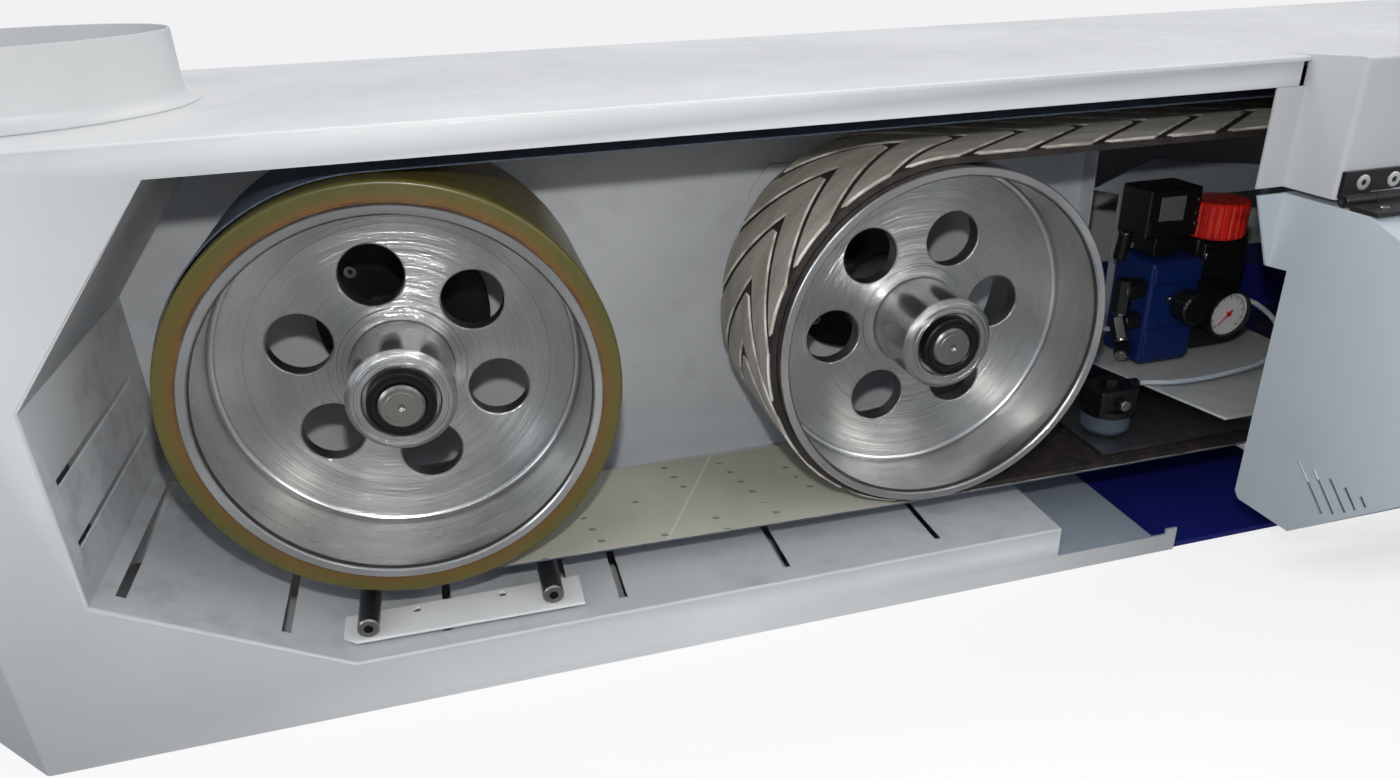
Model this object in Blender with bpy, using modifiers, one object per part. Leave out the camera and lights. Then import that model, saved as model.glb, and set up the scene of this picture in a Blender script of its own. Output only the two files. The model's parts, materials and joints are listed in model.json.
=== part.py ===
"""Cross-belt sanding head of a wide-belt sander, full width, standing on its underside.

Frame: metres. X runs along the head, 0 at its middle. Y runs away from the operator.
Z is up, 0 at the underside. Depths are given back from the front face of the housing.
The left end carries the belt tensioning, the right end the two drive motors.
"""

import math

import bmesh
import bpy
from mathutils import Matrix, Vector

# ---------------------------------------------------------------- driving dimensions
GAP = 0.0003
SHEET = 0.0025
STEPS = 32

HALF_LENGTH = 1.661
HOUSING_HEIGHT = 0.5025
HOUSING_DEPTH = 0.458
DOOR_REACH = 0.236
FRONT = -(HOUSING_DEPTH - DOOR_REACH) / 2

OUTER_X, OUTER_Z = -1.256, 0.2807
INNER_X, INNER_Z = -0.7694, 0.2633
TYRE_R = 0.180
OUTER_RIM_R = 0.1626
INNER_RIM_R = 0.1642
DRUM_WIDTH = 0.187
RIM_WALL = 0.0085
SHAFT_R = 0.0186
HUB_R = 0.044
HUB_BORE_R = 0.031
HOLE_R = 0.027
HOLE_CIRCLE_R = 0.0855
OUTER_DRUM_FRONT, INNER_DRUM_FRONT = 0.0206, 0.0286
OUTER_WEB, INNER_WEB = 0.1032, 0.1002
OUTER_SHAFT_END, INNER_SHAFT_END = 0.0171, 0.0211
WEB_THICK = 0.018
HUB_FRONT, HUB_CHAMFER, HUB_STEP_BACK = 0.028, 0.004, 0.020
TYRE_SETBACK = 0.0036
BEARING_FRONT, BEARING_BACK = 0.034, 0.064
LOCK_RING_R, LOCK_RING_FRONT, LOCK_RING_BACK = 0.0275, 0.0222, 0.0335
FLANGE_R, FLANGE_FRONT, FLANGE_BACK = 0.084, 0.2405, 0.2642
SLOT_HALF = 0.0206
OUTER_TRAVEL, INNER_TRAVEL = 0.020, 0.015

BELT_FRONT, BELT_BACK = 0.040, 0.193
LAMELLA_THICK = 0.0085
ABRASIVE_THICK = 0.0012

WALL_FRONT = 0.2655
WALL_BACK = 0.2685
REAR_COVER_FRONT = HOUSING_DEPTH - SHEET + GAP
CARRIAGE_FRONT, CARRIAGE_BACK = 0.2888, 0.3188
RAIL_LOW, RAIL_HIGH = (0.187, 0.199), (0.345, 0.357)
CYLINDER_DEPTH, CYLINDER_R, PISTON_R = 0.3038, 0.022, 0.008
MOTOR_R, MOTOR_FLANGE_R, MOTOR_PILOT_R = 0.075, 0.095, 0.030

OPENING_TOP = 0.478
FLOOR_Z = 0.0545
FLOOR_END = -0.6404
TRAY_Z = 0.021
TRAY_END = -0.5257
BAND_END = -0.510
TAB_END, TAB_TOP = -0.497, 0.027
CHAMBER = [(-1.3913, OPENING_TOP), (-1.5107, 0.3223), (-1.5107, 0.1552), (-1.3285, FLOOR_Z)]
CORNER_X, CORNER_DEPTH = -1.5825, 0.080

HOOD_HALF = 0.4595
HOOD_FRONT = -0.056
HOOD_BOTTOM = 0.389
HOOD_TOP = 0.507
ROOF_SPLIT = HOOD_HALF + GAP
SLIT_START = 0.4667
FLANGE_OUT = 0.488

DOOR_TOP = 0.3838
DOOR_FRONT = -0.212
HINGE_DEPTH, HINGE_Z, HINGE_R = -0.0635, 0.3898, 0.0054
HINGE_LENGTH = 0.062
LOUVRES = [(-0.0864, 0.052), (-0.1035, 0.043), (-0.1215, 0.032), (-0.1377, 0.021), (-0.1540, 0.010)]

PORT_X, PORT_DEPTH, PORT_R, PORT_TOP = -1.523, 0.197, 0.125, 0.559

BASE_TOP, BASE_BACK = 0.006, 0.440
BASE_HALF = 0.565
PASSAGE_HALF, PASSAGE_FRONT, PASSAGE_BACK = 0.275, 0.060, 0.380
BEAM_HALF, BEAM_FRONT, BEAM_WALL = 0.365, 0.050, 0.004
BEAM_BOTTOM, BEAM_TOP = 0.118, 0.146
CARRIER_HALF, CARRIER_BACK = 0.620, 0.345
CARRIER_BOTTOM, CARRIER_TOP = 0.105, 0.205
PAD_BOTTOM, PAD_THICK = 0.099, 0.012
SHELF_Z = BEAM_TOP + GAP
BELT_SLACK = 0.0015
PLATE_Z = 0.064
ROD_FRONT, ROD_Z, ROD_R = 0.019, PLATE_Z + 0.0098, 0.0095
GAUGE_X, GAUGE_Z = -0.363, 0.207
KNOB_X, KNOB_DEPTH = -0.375, 0.160

# ---------------------------------------------------------------- scene and helpers
for obj in list(bpy.data.objects):
    bpy.data.objects.remove(obj, do_unlink=True)


def new_collection(name):
    collection = bpy.data.collections.new(name)
    bpy.context.scene.collection.children.link(collection)
    return collection


parts = new_collection("cross_belt_sanding_head")
cutters = new_collection("cutters")
empties = new_collection("joint_axes")
cutters.hide_render = True


def material(name, colour, roughness, metallic=0.0):
    made = bpy.data.materials.new(name)
    made.use_nodes = True
    shader = made.node_tree.nodes["Principled BSDF"]
    shader.inputs["Base Color"].default_value = (*colour, 1.0)
    shader.inputs["Roughness"].default_value = roughness
    shader.inputs["Metallic"].default_value = metallic
    return made


PAINT = material("light_grey_paint", (0.55, 0.56, 0.56), 0.45)
WALL_PAINT = material("blue_grey_paint", (0.40, 0.43, 0.46), 0.5)
BLUE = material("frame_blue_paint", (0.01, 0.01, 0.12), 0.4)
REGULATOR_BLUE = material("regulator_blue", (0.01, 0.05, 0.25), 0.4)
ALUMINIUM = material("turned_aluminium", (0.75, 0.75, 0.76), 0.3, 1.0)
STEEL = material("bright_steel", (0.55, 0.55, 0.56), 0.3, 1.0)
DARK_STEEL = material("dark_steel", (0.09, 0.09, 0.10), 0.45, 0.6)
BLACK = material("black_plastic", (0.02, 0.02, 0.02), 0.45)
RED = material("red_plastic", (0.60, 0.02, 0.01), 0.35)
PU = material("amber_polyurethane", (0.36, 0.24, 0.06), 0.35)
LAMELLA = material("lamella_felt", (0.42, 0.39, 0.35), 0.8)
ABRASIVE = material("abrasive_cloth", (0.50, 0.49, 0.42), 0.9)
GRAPHITE = material("graphite_cloth", (0.05, 0.05, 0.05), 0.7)
BOWL = material("clear_bowl", (0.75, 0.80, 0.85), 0.15)
TUBE = material("air_tube", (0.70, 0.74, 0.78), 0.3)


def add(name, mesh, finish, collection=parts):
    obj = bpy.data.objects.new(name, mesh)
    collection.objects.link(obj)
    if finish:
        mesh.materials.append(finish)
    return obj


def mesh_from(name, bm):
    bmesh.ops.recalc_face_normals(bm, faces=bm.faces)
    mesh = bpy.data.meshes.new(name)
    bm.to_mesh(mesh)
    bm.free()
    return mesh


def prism(name, outline, axis, low, high, finish=None, collection=parts):
    """A flat outline pushed along an axis. The outline holds the other two coordinates, in order.
    Every Y value is a depth back from the housing's front face."""
    place = {
        "X": lambda a, b, c: (c, FRONT + a, b),
        "Y": lambda a, b, c: (a, FRONT + c, b),
        "Z": lambda a, b, c: (a, FRONT + b, c),
    }[axis]
    bm = bmesh.new()
    base = bm.faces.new([bm.verts.new(place(a, b, low)) for a, b in outline])
    pushed = bmesh.ops.extrude_face_region(bm, geom=[base])["geom"]
    shift = Vector(place(0, 0, high)) - Vector(place(0, 0, low))
    bmesh.ops.translate(bm, vec=shift, verts=[g for g in pushed if isinstance(g, bmesh.types.BMVert)])
    return add(name, mesh_from(name, bm), finish, collection)


def box(name, x, depth, z, finish=None, collection=parts):
    """A block from (x0, x1), (depth0, depth1) and (z0, z1)."""
    bm = bmesh.new()
    size = Vector((x[1] - x[0], depth[1] - depth[0], z[1] - z[0]))
    middle = Vector(((x[0] + x[1]) / 2, FRONT + (depth[0] + depth[1]) / 2, (z[0] + z[1]) / 2))
    bmesh.ops.create_cube(bm, size=1, matrix=Matrix.LocRotScale(middle, None, size))
    return add(name, mesh_from(name, bm), finish, collection)


TO_AXIS = {
    "X": Matrix.Rotation(math.radians(90), 4, "Y"),
    "Y": Matrix.Rotation(math.radians(-90), 4, "X"),
    "Z": Matrix.Identity(4),
}


def rods(name, axis, radius, ends, finish=None, collection=parts, steps=16):
    """Round bars, each from its middle (x, depth, z) and its length, in one mesh."""
    bm = bmesh.new()
    for (x, depth, z), length in ends:
        matrix = Matrix.Translation((x, FRONT + depth, z)) @ TO_AXIS[axis]
        bmesh.ops.create_cone(
            bm, cap_ends=True, segments=steps, radius1=radius, radius2=radius, depth=length, matrix=matrix
        )
    return add(name, mesh_from(name, bm), finish, collection)


def turned(name, profile, origin, axis, finish, steps=STEPS):
    """A closed profile of (radius, distance along the axis), turned about the axis at origin."""
    bm = bmesh.new()
    ring = [bm.verts.new((radius, 0, along)) for radius, along in profile]
    for first, second in zip(ring, ring[1:] + ring[:1]):
        bm.edges.new((first, second))
    mesh = bpy.data.meshes.new(name)
    bm.to_mesh(mesh)
    bm.free()
    obj = add(name, mesh, finish)
    obj.location = (origin[0], FRONT + origin[1], origin[2])
    obj.rotation_euler = TO_AXIS[axis].to_euler()
    screw = obj.modifiers.new("turn", "SCREW")
    screw.steps = screw.render_steps = steps
    screw.use_merge_vertices = True
    screw.merge_threshold = 0.0001
    return obj


def boolean(obj, other, operation="DIFFERENCE"):
    modifier = obj.modifiers.new(other.name, "BOOLEAN")
    modifier.operation = operation
    modifier.object = other
    other.hide_render = True
    other.display_type = "WIRE"
    for collection in list(other.users_collection):
        collection.objects.unlink(other)
    cutters.objects.link(other)
    return obj


def cut(obj, *others):
    for other in others:
        boolean(obj, other)
    return obj


def join(obj, *others):
    for other in others:
        boolean(obj, other, "UNION")
    return obj


def applied(obj):
    """Turns an object and its modifiers into a plain mesh in world space."""
    graph = bpy.context.evaluated_depsgraph_get()
    mesh = bpy.data.meshes.new_from_object(obj.evaluated_get(graph))
    mesh.transform(obj.matrix_world)
    obj.modifiers.clear()
    obj.data = mesh
    obj.location = (0, 0, 0)
    obj.rotation_euler = (0, 0, 0)
    return obj


def set_origin(obj, x, depth, z):
    """Puts the object's origin on its joint's axis without moving the piece."""
    point = Vector((x, FRONT + depth, z))
    obj.data.transform(Matrix.Translation(-point))
    obj.location = point
    return obj


def mirrored(obj, name):
    """The same piece for the right-hand end."""
    mesh = obj.data.copy()
    mesh.transform(Matrix.Scale(-1, 4, (1, 0, 0)))
    mesh.flip_normals()
    twin = bpy.data.objects.new(name, mesh)
    twin.location = (-obj.location.x, obj.location.y, obj.location.z)
    parts.objects.link(twin)
    return twin


def both_ends(obj):
    """Keeps a left piece and makes its right-hand twin."""
    bpy.context.view_layer.update()
    mirrored(applied(obj), obj.name.replace("left", "right"))
    return obj


def joint_empty(name, x, depth, z):
    empty = bpy.data.objects.new(name, None)
    empty.location = (x, FRONT + depth, z)
    empties.objects.link(empty)
    return empty


def offset_path(path, distance):
    """The same open path moved sideways, to its left for a positive distance."""
    points = [Vector(p) for p in path]
    lefts = []
    for first, second in zip(points, points[1:]):
        along = (second - first).normalized()
        lefts.append(Vector((-along.y, along.x)))
    moved = [points[0] + lefts[0] * distance]
    for point, before, after in zip(points[1:-1], lefts, lefts[1:]):
        moved.append(point + (before + after) * distance / (1 + before.dot(after)))
    moved.append(points[-1] + lefts[-1] * distance)
    return [tuple(point) for point in moved]


def belt_path(circles, step=math.radians(7.5)):
    """A loop round pulleys (x, z, radius), in counter-clockwise order, clear of each true circle."""
    normals = []
    for (x0, z0, r0), (x1, z1, r1) in zip(circles, circles[1:] + circles[:1]):
        span = Vector((x1 - x0, z1 - z0))
        along = span.normalized()
        side = (r0 - r1) / span.length
        normal = along * side + Vector((along.y, -along.x)) * math.sqrt(1 - side * side)
        normals.append(math.atan2(normal.y, normal.x))
    points = []
    for i, (x, z, radius) in enumerate(circles):
        start, end = normals[i - 1], normals[i]
        turn = (end - start) % (2 * math.pi)
        count = max(1, math.ceil(turn / step))
        reach = radius / math.cos(turn / count / 2)
        for k in range(count + 1):
            angle = start + turn * k / count
            points.append((x + reach * math.cos(angle), z + reach * math.sin(angle)))
    return points


def belt(name, circles, depth, thickness, finish):
    """A flat endless belt: its inner surface, pushed across its width and thickened outwards."""
    bm = bmesh.new()
    loop = [bm.verts.new((x, FRONT + depth[0], z)) for x, z in belt_path(circles)]
    edges = [bm.edges.new(pair) for pair in zip(loop, loop[1:] + loop[:1])]
    pushed = bmesh.ops.extrude_edge_only(bm, edges=edges)["geom"]
    across = [g for g in pushed if isinstance(g, bmesh.types.BMVert)]
    bmesh.ops.translate(bm, vec=(0, depth[1] - depth[0], 0), verts=across)
    bmesh.ops.recalc_face_normals(bm, faces=bm.faces)
    face = bm.faces[:][0]
    middle = face.calc_center_median()
    if face.normal.dot(middle - Vector((0, middle.y, INNER_Z))) < 0:
        bmesh.ops.reverse_faces(bm, faces=bm.faces)
    mesh = bpy.data.meshes.new(name)
    bm.to_mesh(mesh)
    bm.free()
    obj = add(name, mesh, finish)
    solidify = obj.modifiers.new("thickness", "SOLIDIFY")
    solidify.thickness = thickness
    solidify.offset = 1.0
    solidify.use_even_offset = True
    return obj


# ---------------------------------------------------------------- housing ends
def housing():
    """The folded outer shell of one end, its belt chamber's floor and walls, and the lower tray."""
    plan = [
        (CORNER_X, 0),
        (-SLIT_START, 0),
        (-SLIT_START, 0.0125),
        (-ROOF_SPLIT, 0.0125),
        (-ROOF_SPLIT, HOUSING_DEPTH - SHEET),
        (-HALF_LENGTH, HOUSING_DEPTH - SHEET),
        (-HALF_LENGTH, CORNER_DEPTH),
    ]
    shell = prism("left_housing", plan, "Z", 0, HOUSING_HEIGHT, PAINT)
    join(shell, box("roof_lip", (-SLIT_START - 0.01, -ROOF_SPLIT), (0, 0.02), (0.4985, HOUSING_HEIGHT)))
    room = [
        (CORNER_X + 0.001, SHEET),
        (0, SHEET),
        (0, HOUSING_DEPTH + 0.02),
        (-HALF_LENGTH + SHEET, HOUSING_DEPTH + 0.02),
        (-HALF_LENGTH + SHEET, CORNER_DEPTH + 0.001),
    ]
    cut(shell, prism("room", room, "Z", SHEET, HOUSING_HEIGHT - SHEET))
    path = CHAMBER + [(FLOOR_END, FLOOR_Z), (FLOOR_END, TRAY_Z), (TRAY_END, TRAY_Z)]
    inside = offset_path(path, 0.0015)
    outside = offset_path(path, -SHEET)
    liner = prism("liner", inside + outside[::-1], "Y", SHEET - 0.001, WALL_FRONT - GAP)
    join(shell, liner)
    opening = CHAMBER + [
        (FLOOR_END, FLOOR_Z),
        (FLOOR_END, TRAY_Z),
        (BAND_END, TRAY_Z),
        (BAND_END, TAB_TOP),
        (TAB_END, TAB_TOP),
        (TAB_END, -0.01),
        (-0.40, -0.01),
        (-0.40, OPENING_TOP),
    ]
    cut(shell, prism("opening", opening, "Y", -0.01, HOUSING_DEPTH + 0.01))
    cut(shell, box("base_room", (-0.570, -0.40), (SHEET + GAP, 0.50), (-0.01, BASE_TOP + GAP)))
    cut(shell, rods("port_hole", "Z", PORT_R - 0.003, [((PORT_X, PORT_DEPTH, HOUSING_HEIGHT), 0.02)], steps=32))
    return shell


def slot_cutters():
    """Suction slots, 8 mm wide, through the chamber's floor, its sloping wall and its left wall."""
    made = []
    for i, x in enumerate((-1.2515, -1.1422, -1.0904, -0.9280, -0.7669)):
        made.append(box(f"floor_slot_{i}", (x - 0.004, x + 0.004), (0.022, 0.225), (0.048, 0.060)))
    slope = math.atan2(CHAMBER[3][1] - CHAMBER[2][1], CHAMBER[3][0] - CHAMBER[2][0])
    for i, x in enumerate((-1.4954, -1.3825)):
        share = (x - CHAMBER[2][0]) / (CHAMBER[3][0] - CHAMBER[2][0])
        z = CHAMBER[2][1] + share * (CHAMBER[3][1] - CHAMBER[2][1])
        slot = box(f"slope_slot_{i}", (-0.004, 0.004), (0.022, 0.215), (-0.006, 0.006))
        slot.data.transform(Matrix.Translation((x, 0, z)) @ Matrix.Rotation(-slope, 4, "Y"))
        made.append(slot)
    for i, z in enumerate((0.2539, 0.1989)):
        made.append(box(f"wall_slot_{i}", (-1.518, -1.505), (0.022, 0.231), (z - 0.004, z + 0.004)))
    return made


left_housing = housing()
cut(left_housing, *slot_cutters())
both_ends(left_housing)


def back_wall():
    """The wall behind the belt chamber, with a slot for each drum's axle to slide in."""
    wall = box("left_back_wall", (-1.600, -0.4745), (WALL_FRONT, WALL_BACK), (0.030, 0.4995), WALL_PAINT)
    flange = box("flange", (-0.4775, -0.4745), (0.245, WALL_FRONT + 0.001), (0.12, 0.4495))
    join(wall, flange)
    for x, z, travel in ((OUTER_X, OUTER_Z, OUTER_TRAVEL), (INNER_X, INNER_Z, INNER_TRAVEL)):
        name = f"axle_slot_{int(-x * 1000)}"
        across = (x - SLOT_HALF, x + SLOT_HALF + travel)
        cut(wall, box(name, across, (0.25, 0.28), (z - SLOT_HALF, z + SLOT_HALF)))
    return wall


both_ends(back_wall())
box("rear_cover", (-HALF_LENGTH, HALF_LENGTH), (REAR_COVER_FRONT, HOUSING_DEPTH), (0, HOUSING_HEIGHT), PAINT)

PORT_PROFILE = [
    (PORT_R, PORT_TOP - HOUSING_HEIGHT),
    (PORT_R, 0.010),
    (PORT_R + 0.006, GAP),
    (PORT_R - 0.002, GAP),
    (PORT_R - 0.002, PORT_TOP - HOUSING_HEIGHT),
]
both_ends(turned("left_dust_port", PORT_PROFILE, (PORT_X, PORT_DEPTH, HOUSING_HEIGHT), "Z", PAINT))


# ---------------------------------------------------------------- hood, door and hinges
def hood():
    """The middle of the roof and the front hood, with a flange each side that closes the opening."""
    profile = [
        (HOOD_FRONT, HOOD_BOTTOM),
        (HOOD_FRONT, HOOD_TOP),
        (0.030, HOUSING_HEIGHT),
        (HOUSING_DEPTH - SHEET, HOUSING_HEIGHT),
        (HOUSING_DEPTH - SHEET, HOOD_BOTTOM),
    ]
    shell = prism("centre_hood", profile, "X", -HOOD_HALF, HOOD_HALF, PAINT)
    room = [
        (HOOD_FRONT + SHEET, HOOD_BOTTOM - 0.01),
        (HOOD_FRONT + SHEET, HOOD_TOP - SHEET),
        (0.030, HOUSING_HEIGHT - SHEET),
        (0.50, HOUSING_HEIGHT - SHEET),
        (0.50, HOOD_BOTTOM - 0.01),
    ]
    cut(shell, prism("hood_room", room, "X", -HOOD_HALF + SHEET, HOOD_HALF - SHEET))
    cut(shell, box("open_sides", (-0.6, 0.6), (GAP + SHEET, 0.6), (0.35, HOUSING_HEIGHT - SHEET)))
    for side in (-1, 1):
        flange = sorted((side * FLANGE_OUT, side * (HOOD_HALF - 0.001)))
        name = f"hood_flange_{side + 1}"
        join(shell, box(name, flange, (GAP, GAP + SHEET - 0.0002), (HOOD_BOTTOM, OPENING_TOP - GAP)))
    return shell


hood()


def door():
    """The flip-up front door: a deep cover with side panels, rear tabs and louvre slots."""
    outline = [
        (-0.0005, DOOR_TOP),
        (-0.093, DOOR_TOP),
        (-0.187, 0.3480),
        (DOOR_FRONT, 0.3060),
        (DOOR_FRONT, 0.1787),
        (-0.094, 0.0743),
        (-0.031, 0.0743),
        (-0.025, 0.0810),
        (-0.025, 0.3160),
        (-0.0005, 0.3137),
    ]
    shell = prism("front_door", outline, "X", -HOOD_HALF, HOOD_HALF, PAINT)
    room = [
        (0.05, DOOR_TOP - SHEET),
        (-0.0925, DOOR_TOP - SHEET),
        (-0.1855, 0.3460),
        (DOOR_FRONT + SHEET, 0.3050),
        (DOOR_FRONT + SHEET, 0.1800),
        (-0.0928, 0.0768),
        (0.05, 0.0768),
    ]
    cut(shell, prism("door_room", room, "X", -HOOD_HALF + SHEET, HOOD_HALF - SHEET))
    for side in (-1, 1):
        tab = [(side * FLANGE_OUT, DOOR_TOP - 0.0003), (side * 0.4580, DOOR_TOP - 0.0003)]
        tab += [(side * 0.4580, 0.3150), (side * 0.4620, 0.3150)]
        join(shell, prism(f"door_tab_{side + 1}", tab, "Y", -0.0030, -0.0007))
    for i, (start, length) in enumerate(LOUVRES):
        slot = box(f"louvre_{i}", (-0.6, 0.6), (0, length), (-0.0018, 0.0018))
        tilt = Matrix.Rotation(math.radians(225), 4, "X")
        place = Matrix.Translation((0, FRONT + start, 0.148))
        slot.data.transform(place @ tilt @ Matrix.Translation((0, -FRONT, 0)))
        cut(shell, slot)
    return shell


front_door = door()
bpy.context.view_layer.update()
set_origin(applied(front_door), 0, HINGE_DEPTH, HINGE_Z)


def hinges():
    """A block hinge: a leaf screwed to the hood's front, a leaf on the door's top, and a pin."""
    left, right = -0.4586, -0.4586 + HINGE_LENGTH
    middle = (left + right) / 2
    bore = rods("hinge_bore_fixed", "X", 0.0026, [((middle, HINGE_DEPTH, HINGE_Z), 0.2)], steps=12)
    fixed = box("left_hinge_fixed_leaf", (left, right), (-0.0608, HOOD_FRONT - GAP), (0.3910, 0.4140), DARK_STEEL)
    half = (middle - GAP - left, right - middle - GAP)
    barrel = ((left + half[0] / 2, HINGE_DEPTH, HINGE_Z), half[0])
    join(fixed, rods("fixed_knuckle", "X", HINGE_R, [barrel]))
    clearance = box("knuckle_room", (middle - GAP, right + 0.01), (-0.08, -0.05), (0.3800, 0.3960))
    cut(fixed, clearance, bore)
    both_ends(fixed)
    moving = box("left_hinge_door_leaf", (left, right), (-0.0985, HINGE_DEPTH), (DOOR_TOP + GAP, 0.3880), DARK_STEEL)
    barrel = ((middle + GAP + half[1] / 2, HINGE_DEPTH, HINGE_Z), half[1])
    join(moving, rods("door_knuckle", "X", HINGE_R, [barrel]))
    clearance = box("fixed_room", (left - 0.01, middle + GAP), (-0.0715, -0.05), (0.3800, 0.3990))
    bore = rods("hinge_bore_door", "X", 0.0026, [((middle, HINGE_DEPTH, HINGE_Z), 0.2)], steps=12)
    cut(moving, clearance, bore)
    both_ends(moving)
    pin = rods("left_hinge_pin", "X", 0.0022, [((middle, HINGE_DEPTH, HINGE_Z), HINGE_LENGTH)], STEEL, steps=12)
    both_ends(pin)


hinges()


def bent_tube(name, points, radius, finish, resolution=2):
    """A round tube along points (x, depth, z), smoothed by a Catmull-Rom pass."""
    knots = [Vector((x, FRONT + depth, z)) for x, depth, z in points]
    padded = [knots[0] * 2 - knots[1], *knots, knots[-1] * 2 - knots[-2]]
    smooth = []
    for a, b, c, d in zip(padded, padded[1:], padded[2:], padded[3:]):
        for k in range(4):
            t = k / 4
            smooth.append(
                ((b * 2) + (c - a) * t + (a * 2 - b * 5 + c * 4 - d) * t**2 + (b * 3 - a - c * 3 + d) * t**3) / 2
            )
    smooth.append(knots[-1])
    curve = bpy.data.curves.new(name, "CURVE")
    curve.dimensions = "3D"
    curve.bevel_depth = radius
    curve.bevel_resolution = resolution
    curve.use_fill_caps = True
    spline = curve.splines.new("POLY")
    spline.points.add(len(smooth) - 1)
    for point, place in zip(spline.points, smooth):
        point.co = (*place, 1)
    obj = bpy.data.objects.new(name, curve)
    curve.materials.append(finish)
    parts.objects.link(obj)
    return obj


def handle():
    """A D-shaped grip on the door's front face."""
    grip = box("door_handle", (-0.095, 0.095), (-DOOR_REACH, -DOOR_REACH + 0.010), (0.208, 0.222), BLACK)
    for side in (-1, 1):
        post = sorted((side * 0.095, side * 0.081))
        join(grip, box(f"handle_post_{side + 1}", post, (-DOOR_REACH + 0.001, DOOR_FRONT - GAP), (0.209, 0.221)))
    bpy.context.view_layer.update()
    return set_origin(applied(grip), 0, HINGE_DEPTH, HINGE_Z)


handle()


# ---------------------------------------------------------------- drums
def drum_body(name, x, z, rim_r, front, web):
    """A turned aluminium drum: rim, web with six holes, and a hub bored for its bearing."""
    back = front + DRUM_WIDTH
    inner = rim_r - RIM_WALL
    profile = [
        (rim_r, back),
        (rim_r, front),
        (inner, front),
        (inner, web),
        (HUB_R, web),
        (HUB_R, HUB_FRONT + HUB_CHAMFER),
        (HUB_R - HUB_CHAMFER, HUB_FRONT),
        (HUB_BORE_R, HUB_FRONT),
        (HUB_BORE_R, back - HUB_STEP_BACK),
        (HUB_R, back - HUB_STEP_BACK),
        (HUB_R, web + WEB_THICK),
        (inner, web + WEB_THICK),
        (inner, back),
    ]
    drum = turned(name, profile, (x, 0, z), "Y", ALUMINIUM)
    first = {OUTER_X: 98.55, INNER_X: 65.23}[x]
    angles = [math.radians(first + 60 * i) for i in range(6)]
    places = [
        ((x + HOLE_CIRCLE_R * math.cos(a), web + WEB_THICK / 2, z + HOLE_CIRCLE_R * math.sin(a)), 0.04)
        for a in angles
    ]
    cut(drum, rods(f"{name}_holes", "Y", HOLE_R, places))
    return drum


def ring(name, outer, inner, near, far, x, z, finish, steps=STEPS):
    return turned(name, [(outer, far), (outer, near), (inner, near), (inner, far)], (x, 0, z), "Y", finish, steps)


def drum_set(label, x, z, rim_r, front, web, shaft_end, shaft_back):
    """One drum with its bearing, lock ring and axle, for the left end."""
    joint_empty(f"left_{label}_drum_axis", x, 0, z)
    name = f"left_{label}_bearing"
    bearing = ring(name, HUB_BORE_R - GAP, SHAFT_R + GAP, BEARING_FRONT, BEARING_BACK, x, z, STEEL, 24)
    bpy.context.view_layer.update()
    set_origin(applied(bearing), x, 0, z)
    name = f"left_{label}_lock_ring"
    made = [
        drum_body(f"left_{label}_drum", x, z, rim_r, front, web),
        ring(name, LOCK_RING_R, SHAFT_R + GAP, LOCK_RING_FRONT, LOCK_RING_BACK, x, z, BLACK, 24),
    ]
    profile = [
        (0.0, shaft_back),
        (SHAFT_R, shaft_back),
        (SHAFT_R, FLANGE_BACK),
        (FLANGE_R, FLANGE_BACK),
        (FLANGE_R, FLANGE_FRONT),
        (SHAFT_R, FLANGE_FRONT),
        (SHAFT_R, shaft_end + 0.002),
        (SHAFT_R - 0.002, shaft_end),
        (0.0, shaft_end),
    ]
    made.append(turned(f"left_{label}_axle", profile, (x, 0, z), "Y", STEEL, 24))
    for piece in made:
        both_ends(piece)
        for end in (piece, bpy.data.objects[piece.name.replace("left", "right")]):
            set_origin(end, math.copysign(x, end.data.vertices[0].co.x), 0, z)


drum_set("outer", OUTER_X, OUTER_Z, OUTER_RIM_R, OUTER_DRUM_FRONT, OUTER_WEB, OUTER_SHAFT_END, CARRIAGE_FRONT - GAP)
drum_set("inner", INNER_X, INNER_Z, INNER_RIM_R, INNER_DRUM_FRONT, INNER_WEB, INNER_SHAFT_END, CARRIAGE_FRONT - GAP)

tyre = ring(
    "left_outer_drum_tyre",
    TYRE_R,
    OUTER_RIM_R + GAP,
    OUTER_DRUM_FRONT + TYRE_SETBACK,
    OUTER_DRUM_FRONT + DRUM_WIDTH,
    OUTER_X,
    OUTER_Z,
    PU,
)
both_ends(tyre)
for end in ("left", "right"):
    piece = bpy.data.objects[f"{end}_outer_drum_tyre"]
    set_origin(piece, math.copysign(OUTER_X, piece.data.vertices[0].co.x), 0, OUTER_Z)

# ---------------------------------------------------------------- belts
lamella_r = INNER_RIM_R + GAP
belt(
    "lamella_belt",
    [(INNER_X, INNER_Z, lamella_r), (-INNER_X, INNER_Z, lamella_r)],
    (BELT_FRONT, BELT_BACK),
    LAMELLA_THICK,
    LAMELLA,
)
abrasive_r = (lamella_r + LAMELLA_THICK) / math.cos(math.radians(3.75)) + 2 * GAP
belt(
    "abrasive_belt",
    [
        (OUTER_X, OUTER_Z, TYRE_R + BELT_SLACK),
        (INNER_X, INNER_Z, abrasive_r),
        (-INNER_X, INNER_Z, abrasive_r),
        (-OUTER_X, OUTER_Z, TYRE_R + BELT_SLACK),
    ],
    (BELT_FRONT + 0.003, BELT_BACK),
    ABRASIVE_THICK,
    ABRASIVE,
)

# ---------------------------------------------------------------- frame and pressure beam
base = box("base_frame", (-BASE_HALF, BASE_HALF), (SHEET + 2 * GAP, BASE_BACK), (0, BASE_TOP), BLUE)
cut(base, box("work_passage", (-PASSAGE_HALF, PASSAGE_HALF), (PASSAGE_FRONT, PASSAGE_BACK), (-0.01, 0.03)))


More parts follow.
